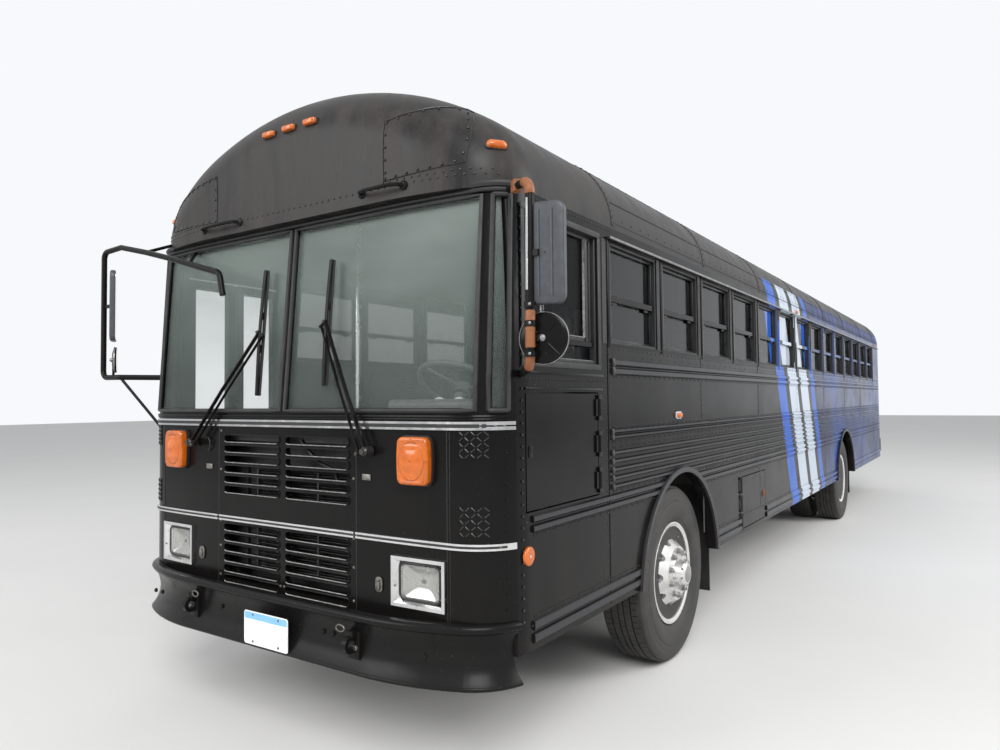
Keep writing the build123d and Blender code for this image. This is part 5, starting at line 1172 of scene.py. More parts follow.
# Outer frame, upper sash and lower sash: width, distance of the inner face from the skin, thickness
FRAME_BAR, UPPER_BAR, LOWER_BAR = (0.013, -0.034, 0.030), (0.017, -0.038, 0.016), (0.016, -0.040, 0.010)


def window_frames():
    """Black frames, two sashes, cover strips and screws of the passenger windows, with black bars of painted shade in
    the grooves beside the posts.
    """
    frames, sashes, strips, screws, seals = Piece(), Piece(), Piece(), Piece(), Piece()
    low, high = WINDOW_Z
    rail_low, rail_high = MID_RAIL_Z
    for side in SIDES:
        for post in POSTS[:-1]:
            stations = (post + POST_WIDTH / 2, post + WINDOW_PITCH - POST_WIDTH / 2)
            ring(frames, side, stations, (low, high), *FRAME_BAR)
            inner = (stations[0] + 0.013, stations[1] - 0.013)
            ring(sashes, side, inner, (rail_low + 0.004, high - 0.013), *UPPER_BAR)
            ring(sashes, side, inner, (low + 0.013, rail_high - 0.012), *LOWER_BAR)
            for start in (inner[0] + 0.05, inner[1] - 0.11):
                bar(sashes, side, (start, start + 0.06), (rail_low - 0.014, rail_low), -0.03, 0.008)
            bar(strips, side, stations, (high + 0.001, high + 0.007), -0.001, 0.005)
        for post in POSTS:
            bar(strips, side, (post + 0.008, post + 0.048), (low - 0.02, high + 0.006), -0.001, 0.007)
            # painted shade: a thin black bar in the groove before each post, where shadow falls
            bar(seals, side, (post - 0.048, post - 0.002), (low - 0.004, high + 0.004), -0.001, 0.003)
            for z in (low + 0.03, low + 0.235, low + 0.26, high - 0.05):
                screws.stud(flank(side, post + 0.028, z, 0.006), ACROSS * side, 0.0045, 0.0025)
    frames.build("window_frames", "rubber", bevel=0.0015, segments=1)
    sashes.build("window_sashes", "sash", bevel=0.002)
    strips.build("post_strips", "side", bevel=0.0028)
    seals.build("post_groove_shade", "rubber")
    screws.build("window_screws", "edge_dark")


def roof_out(side, angle):
    """Outward direction of the roof at an angle."""
    return (roof_point(side, angle, 5, 0.1) - roof_point(side, angle, 5)).normalized()


def drip_rail():
    """Bright lip of the gutter over the windows, and the close rivets above it."""
    lip, rivets = Piece(), Piece()
    for side in SIDES:
        bar(lip, side, (FIRST_POST + 0.01, REAR_SEAM - 0.002), (2.386, 2.398), 0.0205, 0.003)
        for angle, pitch in ((4.5, 0.029), (8.0, 0.12)):
            ends = [roof_point(side, angle, station) for station in (CAP_SEAM + 0.02, REAR_SEAM - 0.02)]
            rivets.studs(*ends, pitch, roof_out(side, angle), 0.0055, 0.0035)
        row(rivets, side, (0.30 if side > 0 else 0.97, 2.431), (CAP_SEAM - 0.02, 2.431), 0.030, 0.0055, 0.0035)
    lip.build("gutter_lip", "edge", bevel=0.001, segments=1)
    rivets.build("gutter_rivets", "rivet")


# Screw lines along the ribbed panels: height, half height of the flange, first station
RIB_FLANGES = (
    (1.696, 0.006, 1.07), (1.441, 0.005, 1.05), (1.368, 0.006, 1.05), (1.340, 0.005, 1.05),
    (1.121, 0.006, 1.05), (1.025, 0.006, 0.28), (0.696, 0.005, 0.28),
)
ARCH_GAP = 0.66
ENTRY_END = 0.97


def runs(side, z, first):
    """Stretches of a flank line that miss the arches and the entry."""
    stops = []
    if z - ARCH_Z < ARCH_GAP:
        reach = math.sqrt(ARCH_GAP**2 - (z - ARCH_Z) ** 2)
        stops = [(axle - reach, axle + reach) for axle in (FRONT_AXLE, REAR_AXLE)]
    if side < 0:
        first = max(first, ENTRY_END)
    spans = []
    for low, high in stops + [(REAR_SEAM - 0.01, None)]:
        if low - first > 0.05:
            spans.append((first, low))
        first = high
    return spans


def rib_screws():
    """Flanges and dark screws between the ribs, joint covers and rivet rows of the flank."""
    flanges, screws, covers, rivets = Piece(), Piece(), Piece(), Piece()
    for side in SIDES:
        for z, half, first in RIB_FLANGES:
            for start, end in runs(side, z, first):
                bar(flanges, side, (start, end), (z - half, z + half), -0.001, 0.003)
                row(screws, side, (start + 0.03, z), (end - 0.03, z), 0.074, 0.0052, 0.004, 0.0015)
        for z, pitch in ((1.836, 0.062), (1.803, 0.124)):
            row(rivets, side, (1.08, z), (REAR_SEAM - 0.03, z), pitch, 0.0058)
        bar(flanges, side, (1.05, REAR_SEAM), (1.850, 1.858), -0.001, 0.006)
        for station in POSTS[2::2]:
            # cover strips: half width, heights, thickness
            strips = [(0.015, (1.79, 1.848), 0.003), (0.014, (1.449, 1.688), 0.0022)]
            row(rivets, side, (station - 0.007, 1.46), (station - 0.007, 1.68), 0.055, out=0.001)
            row(rivets, side, (station + 0.007, 1.475), (station + 0.007, 1.665), 0.055, out=0.001)
            if abs(station - REAR_AXLE) > 0.7:
                strips.append((0.012, (0.704, 1.018), 0.0018))
                row(rivets, side, (station, 0.72), (station, 1.0), 0.07)
            for half, heights, thick in strips:
                bar(covers, side, (station - half, station + half), heights, -0.001, thick)
        for station, high in ((0.985, 2.375 if side > 0 else 2.33), (1.024, 2.33)):
            row(rivets, side, (station, 0.66), (station, high), 0.052, 0.006, 0.0035)
        bar(covers, side, (1.001, 1.011), (0.58, 2.38), -0.001, 0.004)
    flanges.build("rib_flanges", "side", bevel=0.001, segments=1)
    screws.build("rib_screws", "screw_dark")
    covers.build("joint_covers", "side", bevel=0.001, segments=1)
    rivets.build("flank_rivets", "rivet")


# Rolled caps at the ends of the ribs: station, half height, middle heights
RIB_ENDS = (
    (1.058, 0.021, (1.767, 1.723)),
    (1.038, 0.0135, (1.420, 1.392)),
    (1.038, 0.0145, (1.313, 1.271, 1.229, 1.187, 1.145)),
)


def rib_ends():
    """Rubbed end caps of the ribs."""
    caps = Piece()
    for side in SIDES:
        for station, half, heights in RIB_ENDS:
            for z in heights:
                bar(caps, side, (station - 0.012, station + 0.010), (z - half, z + half), -0.002, 0.016)
    caps.build("rib_end_caps", "edge_dark", bevel=0.005)


DRIVER_WINDOW = ((0.228, 0.9), (1.748, 2.384))
DRIVER_RAIL_Z = 1.856
# Rivets round the driver's place: side, first and last point of station and Z, pitch, radius, rise
DRIVER_ROWS = (
    (1, (0.262, 1.672), (0.955, 1.672), 0.023, 0.0065, 0.005),
    (1, (0.30, 1.644), (0.94, 1.644), 0.105, 0.006, 0.003),
    (1, (0.203, 0.69), (0.203, 2.38), 0.047, 0.006, 0.0035),
    (-1, (0.203, 0.69), (0.203, 2.38), 0.047, 0.006, 0.0035),
    (1, (0.941, 0.69), (0.941, 1.64), 0.052, 0.0055, 0.003),
    (1, (0.23, 1.085), (0.93, 1.085), 0.07, 0.0055, 0.003),
    (1, (0.27, 0.66), (0.93, 0.66), 0.12, 0.0055, 0.003),
)


def driver_window():
    """Deep black frame, bright inner bead and sliding sash of the driver's window, and rivets round it."""
    frame, bead, rivets, drip = Piece(), Piece(), Piece(), Piece()
    (first, last), (low, high), rail = *DRIVER_WINDOW, DRIVER_RAIL_Z
    ring(frame, 1, (first - 0.026, last + 0.026), (low - 0.026, high + 0.012), 0.028, -0.001, 0.006)
    ring(frame, 1, (first + 0.001, last - 0.001), (low + 0.001, high - 0.001), 0.016, -0.036, 0.028)
    ring(frame, 1, (first + 0.016, last - 0.016), (rail, high - 0.016), 0.020, -0.038, 0.012)
    for piece, stations, heights, out, thick in (
        (frame, (last - 0.085, last - 0.06), (rail, high - 0.03), -0.037, 0.016),
        (bead, (first + 0.03, last - 0.085), (rail + 0.020, rail + 0.024), -0.036, 0.012),
        (bead, (last - 0.088, last - 0.084), (rail + 0.02, high - 0.03), -0.036, 0.012),
        (bead, (first + 0.017, last - 0.018), (low + 0.017, low + 0.021), -0.030, 0.012),
        (drip, (0.222, 0.93), (1.625, 1.634), -0.001, 0.009),
        (drip, (0.215, 0.955), (1.690, 1.702), -0.001, 0.006),
    ):
        bar(piece, 1, stations, heights, out, thick)
    for line in DRIVER_ROWS:
        row(rivets, *line)
    frame.build("driver_window_frame", "rubber", bevel=0.002)
    bead.build("driver_window_bead", "edge")
    rivets.build("driver_rivets", "rivet")
    drip.build("hatch_drip", "side", bevel=0.0015)


# Small flank lamps at station and Z, round reflectors at side and station
MARKERS = ((1.974, 1.481), (5.3, 2.425), (REAR_SEAM - 0.3, 2.425))
MARKER_LENS = ((1, 0.004), (1, 0.015), (0.85, 0.021), (0.4, 0.0235), (0.02, 0.024))
REFLECTORS = ((1, 0.236), (-1, 1.010))
REFLECTOR = ((0, 0.0385), (0.008, 0.0385), (0.0105, 0.0365), (0.0125, 0.026), (0.0135, 0.010), (0.0135, 0.0001))


def flank_plate(piece, side, station, z, size, out, thick):
    """Plate with rounded corners on a flank: size is its length, height, corner and steps."""
    outline = [flank(side, station + a, z + b, out) for a, b in rounded(*size)]
    piece.slab(outline, ACROSS * side, thick)


def side_lamps():
    """Small amber lamps and reflectors of the flanks, latches of the lids and the battery lid's hinge."""
    bezels, amber, lid, latch, hinge = Piece(), Piece(), Piece(), Piece(), Piece()
    for side in SIDES:
        out = ACROSS * side
        for station, z in MARKERS:
            flank_plate(bezels, side, station, z, (0.088, 0.044, 0.012, 4), 0.0004, 0.008)
            amber.dome(flank(side, station, z), BACK, UP, out, rounded(0.070, 0.030, 0.010, 4), MARKER_LENS)
    for side, station in REFLECTORS:
        middle = flank(side, station, 0.949, 0.0004)
        amber.lathe(REFLECTOR, middle, ACROSS * side, 36)
        bezels.lathe(((0.012, 0.0055), (0.0145, 0.0055), (0.015, 0.003)), middle, ACROSS * side, 12)
    station, z, wide = 3.925, 0.79, 0.046
    flank_plate(lid, 1, station, z, (wide, wide * 1.3, 0.006, 3), 0.0003, 0.004)
    flank_plate(lid, 1, station, z, (wide * 0.45, wide * 0.7, 0.006, 3), 0.004, 0.008)
    lid.lathe(((0.004, 0.006), (0.0095, 0.006), (0.010, 0.004)), flank(1, station, z + wide * 0.5), ACROSS, 10)
    lid.build("battery_latch", "rust_dot", "battery", bevel=0.0012)
    flank_plate(latch, 1, 0.262, 1.37, (0.03, 0.05, 0.008, 3), 0.0003, 0.003)
    latch.build("hatch_latch", "front", "hatch", bevel=0.0012)
    for number in range(12):
        low = 0.604 + number * 0.0315
        hinge.tube([flank(1, 3.26, z, 0.001) for z in (low, low + 0.028)], 0.0048, 8)
    bar(hinge, 1, (3.236, 3.258), (0.604, 0.975), -0.001, 0.0025)
    bezels.build("marker_bezels", "bright_plastic", bevel=0.0015)
    hinge.build("battery_hinge", "edge_dark")
    item = amber.build("side_lenses", "amber", angle=50)
    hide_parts("amber_lamps")


# Roof

ROOF_SEAM_PITCH = 2 * WINDOW_PITCH
ROOF_TOP_ANGLE = 89.9


def roof_seams():
    """Lap joints over and along the roof, with their rivet rows."""
    laps, rivets = Piece(), Piece()
    angles = spread(2, ROOF_TOP_ANGLE, 26)
    for number in range(8):
        station = CAP_SEAM + 0.012 + number * ROOF_SEAM_PITCH
        for side in SIDES:
            laps.grid([[roof_point(side, a, station + shift, 0.0014) for a in angles] for shift in (-0.011, 0.024)])
            for shift, first in ((0.0, 3.0), (0.016, 5.0)):
                for angle in (first + step * 4.6 for step in range(19)):
                    rivets.stud(roof_point(side, angle, station + shift, 0.0012), roof_out(side, angle), 0.006, 0.004)
    stations = spread(CAP_SEAM + 0.02, REAR_SEAM - 0.02, 40)
    for side in SIDES:
        for angle in (21, 58):
            laps.grid([[roof_point(side, angle + lean, s, 0.0016) for s in stations] for lean in (-0.9, 0.9)])
            ends = [roof_point(side, angle, station, 0.001) for station in (CAP_SEAM + 0.05, REAR_SEAM - 0.05)]
            rivets.studs(*ends, 0.118, roof_out(side, angle), 0.0055, 0.0035)
    for side in (1, -1):
        ends = (REAR_SEAM - 0.03, REAR_SEAM + 0.002)
        laps.grid([[roof_point(side, 20 + i * 2.7, station, 0.0015) for i in range(27)] for station in ends])
    laps.build("roof_laps", "roof", thickness=0.0024)
    rivets.build("roof_rivets", "rivet")


# Mirrors: points are X, station and Z

LEFT_ARM = ((1.2195, 0.1245, 2.4246), (1.385, 0.010, 2.405), (1.385, 0.0, 1.705), (1.213, 0.213, 1.690))
RIGHT_LOOP = (
    (-1.168, 0.088, 1.7305), (-1.33, -0.062, 1.733), (-1.504, -0.065, 1.735), (-1.504, -0.065, 2.470),
    (-1.32, -0.065, 2.478), (-1.07, -0.065, 2.42), (-0.82, -0.065, 2.355), (-0.4, -0.065, 2.235),
    (-0.372, -0.065, 2.12),
)
RIGHT_STAYS = (
    ((-1.06, -0.065, 2.42), (-1.06, 0.118, 2.495), 0.009),
    ((-0.66, -0.065, 2.305), (-0.845, 0.100, 2.422), 0.009),
    ((-1.33, -0.062, 1.735), (-1.128, 0.120, 1.386), 0.008),
)
# Heads: middle, size, turn, ribs. Round mirrors: middle, radius, depth, turn
HEADS = (
    ((1.438, 0.036, 2.128), (0.150, 0.034, 0.385), 14, 2),
    ((-1.432, -0.050, 2.150), (0.165, 0.030, 0.410), -31, 1),
)
ROUNDS = (((1.4185, 0.044, 1.812), 0.0985, 0.028, 10), ((-1.400, -0.055, 1.835), 0.0745, 0.022, -31))
HEAD_CORNER, BACK_SCALE = 0.037, 0.7
# Section of a head: scale of its outline, and depth as a share
HEAD_SECTION = (
    (0.94, -0.5), (0.985, -0.46), (1.0, -0.3), (1.0, 0.1), (0.985, 0.3),
    (0.95, 0.42), (0.86, 0.485), (0.6, 0.5), (0.25, 0.5), (0.02, 0.5),
)


def facing(turn):
    """Across and ahead directions of a mirror turned about the vertical."""
    way = math.radians(turn)
    return Vector((math.cos(way), math.sin(way), 0)), Vector((math.sin(way), -math.cos(way), 0))


def shell(piece, middle, size, turn, ribs):
    """Moulded mirror head: a flat face to the rear, a domed back and rounded edges."""
    wide, deep, high = size
    across, ahead = facing(turn)
    rings = []
    for scale, depth in HEAD_SECTION:
        less = (1 - scale) * wide
        if scale < BACK_SCALE:
            outline = rounded(wide * scale, high * scale, HEAD_CORNER * scale, 7)
        else:
            outline = rounded(wide - less, high - less, max(HEAD_CORNER * scale - less * 0.2, 0.002), 7)
        rings.append([middle + across * a + UP * b + ahead * depth * deep for a, b in outline])
    piece.grid(rings, True)
    piece.add(rings[0], [tuple(range(len(rings[0])))])
    for number in range(ribs):
        foot = middle + across * (number - (ribs - 1) / 2) * wide * 0.34 + ahead * deep * 0.485
        piece.stay(foot - UP * high * 0.42, foot + UP * high * 0.42, 0.005)


def mirrors():
    """Tubes, heads, round mirrors, clamps and stays of both mirrors."""
    arms, heads, rounds, faces, rust, nuts, rims, strip = (Piece() for _ in range(8))
    left = [spot(*p) for p in LEFT_ARM]
    arms.tube(bent(left, 0.06), 0.016, 14)
    arms.tube(bent([spot(*p) for p in RIGHT_LOOP], 0.04), 0.0155, 14)
    for first, last, radius in RIGHT_STAYS:
        first, last = spot(*first), spot(*last)
        arms.stay(first, last, radius, 10)
        arms.lathe(((-0.02, 0.012), (0.004, 0.014), (0.012, 0.026), (0.016, 0.026)), last, last - first, 14)
    for middle, (wide, deep, high), turn, ribs in HEADS:
        middle = spot(*middle)
        across, ahead = facing(turn)
        shell(heads, middle, (wide, deep, high), turn, ribs)
        pane = middle - ahead * (deep / 2 - 0.001)
        outline = rounded(wide - 0.022, high - 0.022, 0.028, 7)
        faces.slab([pane + across * a + UP * b for a, b in outline], -ahead, 0.0022)
    for middle, radius, deep, turn in ROUNDS:
        middle = spot(*middle)
        across, way = facing(turn)
        # depth as a share, radius as a share, and what it is less
        section = ((0.1, 1, 0), (0.2, 1, 0.004), (0.32, 0.8, 0), (0.42, 0.5, 0))
        profile = [(-deep / 2, radius - 0.006), (-deep / 2, radius - 0.002), (-deep / 2 + 0.004, radius)]
        profile += [(deep * d, radius * r - less) for d, r, less in section] + [(deep / 2, 0.022), (deep / 2, 0.0001)]
        rounds.lathe(profile, middle, way, 40)
        for number in range(4):
            a = math.radians(45 + 90 * number)
            ray = across * math.cos(a) + UP * math.sin(a)
            crease = ((0.3, 0.46), (0.6, 0.40), (0.9, 0.2))
            rounds.tube([middle + ray * radius * r + way * deep * d for r, d in crease], 0.003, 6)
        knob = ((0, 0.013), (0.008, 0.013), (0.010, 0.008), (0.015, 0.008), (0.016, 0.005))
        nuts.lathe(knob, middle + way * deep * 0.49, way, 12)
        inner, outer = radius - 0.001, radius + 0.0004
        rims.lathe(((-0.003, inner), (-0.003, outer), (0.004, outer), (0.004, inner)), middle, way, 44)
        pane = ((0, radius - 0.012), (0.001, radius - 0.012), (0.004, radius * 0.5), (0.0048, 0.0001))
        faces.lathe(pane, middle - way * (deep / 2 - 0.0006), -way, 40)
    # brackets that hold the heads, and the rusted sleeves and clamps of the driver's arm
    for x, station, z, wide in ((1.400, 0.012, 2.128, 0.022), (1.398, 0.022, 1.812, 0.02)):
        arms.box((x - wide, x + wide), (at(station - 0.012), at(station + 0.014)), (z - 0.012, z + 0.012))
    arms.box((-1.506, -1.44), (at(-0.068), at(-0.056)), (2.140, 2.160))
    arms.tube([spot(-1.400, -0.062, z) for z in (1.735, 1.80)], 0.007, 8)
    path = bent(left, 0.06)
    rust.tube(path[1:8], 0.0195, 14)
    upper, lower = (left[1].lerp(left[2], share) for share in (0.70, 0.90))
    rust.stay(upper, lower, 0.019, 14)
    rust.tube(path[8:14], 0.019, 14)
    for z in (1.935, 1.865, 1.752):
        clamp = upper.lerp(lower, (upper.z - z) / (upper.z - lower.z))
        arms.lathe(((-0.011, 0.0225), (0.011, 0.0225)), clamp, UP, 16)
        nuts.lathe(((0.018, 0.006), (0.029, 0.006), (0.030, 0.004)), clamp, (0.5, -1, 0), 8)
    # painted highlight: a thin chrome tube on the camera side of the driver's arm stands in for the highlight on its
    # tube
    strip.tube([spot(1.381, s, z) for s, z in ((-0.0062, 2.335), (-0.0102, 2.15), (-0.0122, 1.99))], 0.0045, 8)
    strip.build("arm_highlight_strip", "chrome")
    sleeve, half = left[0].lerp(left[1], 0.35), (0.022, 0.016, 0.024)
    limits = [(middle - reach, middle + reach) for middle, reach in zip(sleeve, half)]
    rust.box(*limits, Matrix.Rotation(math.radians(-35), 3, "Z"))
    item = arms.build("mirror_arms", "black")
    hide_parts("left_mirror", "right_mirror")
    heads.build("mirror_heads", "mirror_shell", angle=45)
    rounds.build("round_mirrors", "front", angle=45)
    faces.build("mirror_faces", "mirror")
    rust.build("mirror_clamps", "orange_rust", bevel=0.003)
    nuts.build("mirror_nuts", "edge")
    rims.build("mirror_rims", "edge")


# Wheels

FRONT_TYRE_X, REAR_TYRE_X, TWIN_SPACING = 1.040, 1.044, 0.330
# Half of the tyre's section from bead to groove: distance from the middle and radius
TYRE_PROFILE = (
    (0.103, 0.287), (0.1045, 0.302), (0.110, 0.310), (0.1155, 0.313), (0.1175, 0.320), (0.124, 0.328),
    (0.1285, 0.334), (0.1335, 0.356), (0.1375, 0.378), (0.139, 0.392), (0.1395, 0.400), (0.1392, 0.412),
    (0.1384, 0.424), (0.1362, 0.427), (0.1362, 0.431), (0.1372, 0.436), (0.1356, 0.452), (0.1338, 0.457),
    (0.1338, 0.462), (0.1345, 0.468), (0.131, 0.482), (0.1262, 0.496), (0.119, 0.5065), (0.108, 0.5105),
)
# Tread ribs: limits across, gap between blocks, stagger, top radius
TREAD_RIBS = (
    (-0.100, -0.064, 0.09, 0, 0.5210), (-0.056, -0.021, 0.05, 1, 0.5218), (-0.013, 0.013, 0.05, 0, 0.5218),
    (0.021, 0.056, 0.05, 1, 0.5218), (0.064, 0.100, 0.09, 0, 0.5210),
)
BLOCKS_ROUND = 84
TREAD_BOTTOM = 0.506


def round_axle(x, axle, radius, a, z=WHEEL_Z):
    """Point round an axle."""
    return spot(x, axle + radius * math.cos(a), z + radius * math.sin(a))


def tyre(piece, middle, axle):
    """Carcass with sidewall rings, and a tread of five ribs cut into blocks."""
    profile = [(middle + x, r) for x, r in TYRE_PROFILE] + [(middle - x, r) for x, r in reversed(TYRE_PROFILE)]
    piece.lathe(profile, spot(0, axle, WHEEL_Z), ACROSS, 72)
    for low, high, gap, stagger, top in TREAD_RIBS:
        lean = 0.3 if stagger else -0.3
        for number in range(BLOCKS_ROUND):
            start = number + stagger / 2
            turns = [2 * math.pi * share / BLOCKS_ROUND for share in (start, start + 1 - gap)]
            corners = [(x, r, turn) for turn in turns for r in (TREAD_BOTTOM, top) for x in (low, high)]
            points = [round_axle(middle + x, axle, r, turn + (x - low) * lean) for x, r, turn in corners]
            piece.add(points, BOX_FACES)


# Hubs: name, body, axle, X of the nuts, bolts, cap and valve's ends, radius of the bolts' ring and the cap
HUBS = (
    ("front", "front_wheel", FRONT_AXLE, 1.190, 1.238, 1.252, (1.085, 1.155), 0.069, 0.05),
    ("rear", "rear_wheels", REAR_AXLE, 0.8945, 1.0825, 1.098, (0.949, 1.029), 0.088, 0.062),
)
NUT = ((-0.002, 0.0205), (0.003, 0.0205), (0.0035, 0.017), (0.019, 0.0165), (0.0215, 0.013))
STUD_END = ((0.015, 0.009), (0.026, 0.009), (0.027, 0.0075))
NUT_RING = 0.1325


def wheels():
    """Tyres in place of the plain rings, wheel nuts, hub bolts and valve stems."""
    for side, word in ((1, "left"), (-1, "right")):
        front, rear = Piece(), Piece()
        tyre(front, side * FRONT_TYRE_X, FRONT_AXLE)
        item = front.build(f"{word}_front_treaded_tyre", "tyre", f"{word}_front_wheel")
        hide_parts(f"{word}_front_tyre")
        for middle in (REAR_TYRE_X, REAR_TYRE_X - TWIN_SPACING):
            tyre(rear, side * middle, REAR_AXLE)
        item = rear.build(f"{word}_rear_treaded_tyres", "tyre", f"{word}_rear_wheels")
        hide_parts(f"{word}_rear_tyres")
        for name, body, axle, nut_x, bolt_x, cap_x, valve_x, ring_radius, wide in HUBS:
            nuts, hub, valve, out = Piece(), Piece(), Piece(), ACROSS * side
            for number in range(10):
                middle = round_axle(side * nut_x, axle, NUT_RING, math.radians(36 * number + 18))
                nuts.lathe(NUT, middle, out, 6)
                nuts.lathe(STUD_END, middle, out, 12)
            for number in range(8):
                middle = round_axle(side * bolt_x, axle, ring_radius, math.radians(45 * number + 10))
                hub.lathe(((-0.004, 0.0085), (0.006, 0.0085), (0.0075, 0.006)), middle, out, 6)
            cap = ((-0.001, wide), (0.002, wide - 0.003), (0.004, wide * 0.6), (0.005, 0.0001))
            hub.lathe(cap, spot(side * cap_x, axle, WHEEL_Z), out, 32)
            stem = zip(valve_x, (0.232, 0.226))
            valve.stay(*(round_axle(side * x, axle, radius, math.radians(60)) for x, radius in stem), 0.0045)
            nuts.build(f"{word}_{name}_wheel_nuts", "steel", f"{word}_{body}")
            hub.build(f"{word}_{name}_hub_bolts", "steel", f"{word}_{body}")
            valve.build(f"{word}_{name}_valve", "chrome", f"{word}_{body}")


def arch_lips():
    """Rolled black edge of the wheel arches."""
    lips = Piece()
    x = HALF_WIDTH + 0.0215
    for side in SIDES:
        for axle in (FRONT_AXLE, REAR_AXLE):
            points = [round_axle(side * x, axle, 0.647, a, ARCH_Z) for a in spread(math.pi, 0, 48)]
            lips.tube([p for p in points if p.z > 0.585], 0.0042, 8)
    lips.build("arch_edges", "edge_dark")


# Seats

BENCH_RUNS = ((2.740, 7.320, 1.080), (7.360, 8.740, 1.170), (8.780, 11.500, 1.080))
BENCH_BACK_X, BENCH_Z, BENCH_PITCH = 1.1687, 1.412, 0.52
# Rim of a cushion: rise as a share and scale of its outline
PAD_RIM = ((0.0, 0.94), (0.08, 0.985), (0.3, 1.0), (0.62, 0.995), (0.82, 0.965))


def pad(piece, place, across, along, out, size, crown, pull, channels=0):
    """Crowned cushion: its sides pull in between the corners, and channels are sewn across its face."""
    wide, long, deep = size
    outline = rounded(1, 1, 0.16, 4)
    rings = []
    for rise, scale in PAD_RIM:
        rings.append([])
        for a, b in outline:
            u, v = 2 * a, 2 * b
            in_a = pull * (1 - v * v) * math.copysign(min(abs(u), 1) ** 4, u)
            in_b = pull * (1 - u * u) * math.copysign(min(abs(v), 1) ** 4, v)
            point = across * (a * wide * scale - in_a) + along * (b * long * scale - in_b)
            rings[-1].append(place + point + out * rise * deep)
    for scale in spread(0.965, 0.02, 6)[1:]:
        rings.append([])
        for a, b in outline:
            u, v = 2 * a * scale, 2 * b * scale
            rise = 0.82 * deep + (deep * 0.18 + crown) * (1 - max(abs(u), abs(v)) ** 3)
            if channels:
                groove = abs(math.sin(math.pi * (v + 1) / 2 * channels))
                rise -= 0.007 * (1 - groove) ** 3 * (1 - abs(u) ** 4)
            rings[-1].append(place + across * (a * wide * scale) + along * (b * long * scale) + out * rise)
    piece.grid(rings, True)
    piece.add(rings[0], [tuple(range(len(outline)))])


def benches():
    """Side benches: painted plinths, and crowned seat and back cushions in sections."""
    plinths, seats, backs = Piece(), Piece(), Piece()
    for side in (1, -1):
        lean = Vector((-side, 0, 0.09)).normalized()
        rise = (UP - lean * lean.z).normalized()
        for first, last, base in BENCH_RUNS:
            xs = sorted((side * (BENCH_BACK_X - 0.42), side * (BENCH_BACK_X - 0.002)))
            plinths.box(xs, (at(first + 0.002), at(last - 0.002)), (base + 0.002, BENCH_Z))
            count = round((last - first) / BENCH_PITCH)
            long = (last - first) / count - 0.012
            for number in range(count):
                station = first + (last - first) * (number + 0.5) / count
                seat = spot(side * (BENCH_BACK_X - 0.292), station, BENCH_Z)
                pad(seats, seat, ACROSS * -side, BACK, UP, (0.372, long, 0.085), 0.02, 0.006)
                back = spot(side * (BENCH_BACK_X - 0.012), station, 1.668)
                pad(backs, back, BACK, rise, lean, (long, 0.335, 0.062), 0.018, 0.005)
    item = plinths.build("bench_plinths", "inside", bevel=0.004)
    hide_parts("bench_seats")
    for piece, name in ((seats, "bench_cushions"), (backs, "bench_backs")):
        item = piece.build(name, "seat", angle=60)
        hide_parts("bench_seats")


DRIVER_SEAT = (0.66, 1.010)
# Driver's pedestal: half width, distances ahead and behind, heights
PEDESTAL = ((0.13, 0.14, 0.14, (1.082, 1.16)), (0.09, 0.1, 0.1, (1.15, 1.36)), (0.16, 0.19, 0.2, (1.35, 1.421)))
GAUGES = ((0.52, 0.026), (0.60, 0.045), (0.72, 0.045), (0.80, 0.026), (0.87, 0.026))


def driver_place():
    """Driver's seat on its pedestal, and the gauges of the dash."""
    base, seat, dials, needles, faces = Piece(), Piece(), Piece(), Piece(), Piece()
    x, station = DRIVER_SEAT
    for half, ahead, behind, heights in PEDESTAL:
        base.box((x - half, x + half), (at(station - ahead), at(station + behind)), heights)
    item = base.build("driver_seat_base", "chassis", bevel=0.006)
    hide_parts("driver_seat")
    pad(seat, spot(x, station - 0.005, 1.421), ACROSS, BACK, UP, (0.47, 0.46, 0.09), 0.018, 0.008, 3)
    pad(seat, spot(x, 1.276, 1.79), ACROSS, UP, -BACK, (0.46, 0.56, 0.085), 0.018, 0.008, 3)
    item = seat.build("driver_cushions", "seat", angle=60)
    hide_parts("driver_seat")
    for x, radius in GAUGES:
        middle = spot(x, 0.4405, 1.555)
        inner = radius - 0.006
        dials.lathe(((-0.002, radius), (0.006, radius), (0.0075, radius - 0.003), (0.004, inner)), middle, BACK, 24)
        faces.lathe(((0.0005, inner), (0.001, 0.0001)), middle, BACK, 24)
        ends = (Vector((0, 0.003, 0)), Vector((radius * 0.5, 0.003, radius * 0.4)))
        needles.tube([middle + end for end in ends], 0.0012, 5)
    dials.build("gauge_rings", "chrome")
    faces.build("gauge_faces", "rubber")
    needles.build("gauge_needles", "amber")


# Rear

REAR_LAMP_X, REAR_LAMP_Z, REAR_LAMP_RADIUS = 1.0, (1.25, 1.45), 0.080
REAR_WINDOW = ((0.560, 1.060), (1.862, 2.335))
DOOR_PANES = ((1.240, 1.640), (1.800, 2.240))
HANDLE = ((0.385, 0.028, 1.72), (0.375, 0.033, 1.70), (0.36, 0.033, 1.64), (0.355, 0.033, 1.60))


def rear_spot(x, z, out=0.0):
    """Point behind the rear wall."""
    return spot(x, REAR_STATION + out, z)


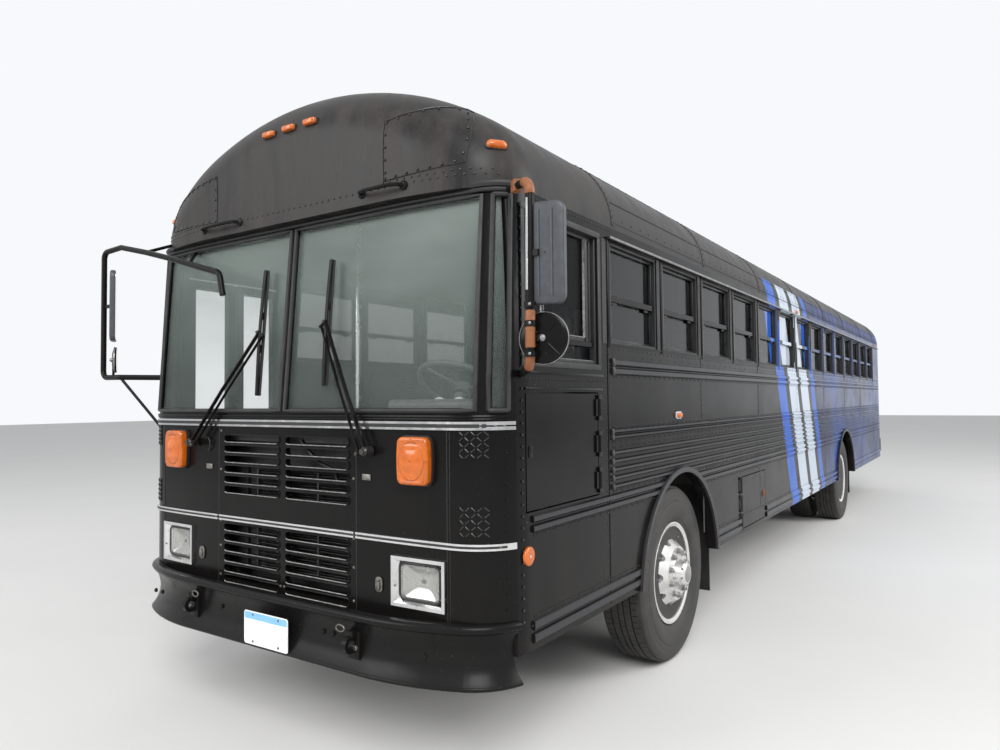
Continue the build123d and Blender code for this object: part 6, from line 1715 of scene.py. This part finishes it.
def rear_detail():
    """Lamp bezels, gaskets, rivets, door handle and blank plate of the rear wall."""
    bezels, gaskets, rivets, seals, steel, plate, lamp = (Piece() for _ in range(7))
    (inner, outer), (low, high) = REAR_WINDOW
    radius, rows = REAR_LAMP_RADIUS, []
    collar = ((0, radius + 0.012), (0.008, radius + 0.011), (0.012, radius + 0.006), (0.012, radius + 0.001))
    band = ((0.0385, radius * 0.72), (0.0398, radius * 0.72), (0.0398, radius * 0.66), (0.0385, radius * 0.66))
    for side in SIDES:
        for z in REAR_LAMP_Z:
            for profile in (collar, band):
                bezels.lathe(profile, rear_spot(side * REAR_LAMP_X, z), BACK, 36)
        x, z = side * (inner + outer) / 2, (low + high) / 2
        outline = rounded(outer - inner + 0.02, high - low + 0.02, 0.03)
        gaskets.tube([rear_spot(x + a, z + b, 0.002) for a, b in outline], 0.010, 8, closed=True)
        rows += [(side * x, side * x, 0.92, 2.40) for x in (0.47, 1.09)]
        rows += [(side * 0.5, side * 1.07, z, z) for z in (1.045, 1.62, 1.80)]
    rows += [(-0.42, 0.42, z, z) for z in (2.40, 1.045)]
    for first, last, start, end in rows:
        rivets.studs(rear_spot(first, start), rear_spot(last, end), 0.06, BACK)
    bezels.build("rear_lamp_rings", "chrome")
    gaskets.build("rear_gaskets", "rubber")
    rivets.build("rear_rivets", "rivet")
    for low, high in DOOR_PANES:
        outline = rounded(0.666, high - low + 0.02, 0.025)
        seals.tube([rear_spot(a, (low + high) / 2 + b, 0.002) for a, b in outline], 0.009, 8, closed=True)
    seals.build("rear_door_gaskets", "rubber", "rear_exit")
    steel.lathe(((0, 0.022), (0.006, 0.02), (0.02, 0.012), (0.03, 0.012)), rear_spot(0.385, 1.72), BACK, 20)
    steel.tube([rear_spot(x, z, out) for x, out, z in HANDLE], 0.008, 10)
    steel.build("rear_door_handle", "steel", "rear_exit")
    plate.slab([rear_spot(0.72 + a, 1.30 + b, 0.001) for a, b in rounded(0.305, 0.152, 0.014)], BACK, 0.003)
    plate.build("rear_blank_plate", "plate", bevel=0.0008)
    lamp.box((0.68, 0.76), (at(REAR_STATION + 0.0005), at(REAR_STATION + 0.03)), (1.388, 1.408))
    lamp.build("rear_plate_lamp", "chrome", bevel=0.004)


def door_detail():
    """Seals of the entry leaves' panes, and a grab bar inside each leaf."""
    low, high, z = 0.760, 2.281, 1.45
    for body, first, last in (("entry_front", 0.319, 0.552), ("entry_rear", 0.658, 0.891)):
        seal, grab = Piece(), Piece()
        outline = rounded(last - first + 0.004, high - low + 0.004, 0.02)
        middle = spot(-(HALF_WIDTH + 0.001), (first + last) / 2, (low + high) / 2)
        seal.tube([middle + Vector((0, a, b)) for a, b in outline], 0.008, 8, closed=True)
        seal.build(f"{body}_pane_seal", "rubber", body)
        ends = ((-1.180, first + 0.02), (-1.140, first + 0.02), (-1.140, last - 0.02), (-1.180, last - 0.02))
        grab.tube(bent([spot(x, station, z) for x, station in ends], 0.02), 0.010, 10)
        grab.build(f"{body}_grab_bar", "pole", body)


for dress in (
    windshield_rubber, trim_lines, grille, panel_seams, tread_plate, turn_lamps, headlamps, small_fittings,
    wiper_blades, plate_detail, cap_detail, bumper_detail, window_frames, drip_rail, rib_screws, rib_ends,
    driver_window, side_lamps, roof_seams, mirrors, wheels, arch_lips, benches, driver_place, rear_detail,
    door_detail, setting, photo_camera,
):
    dress()
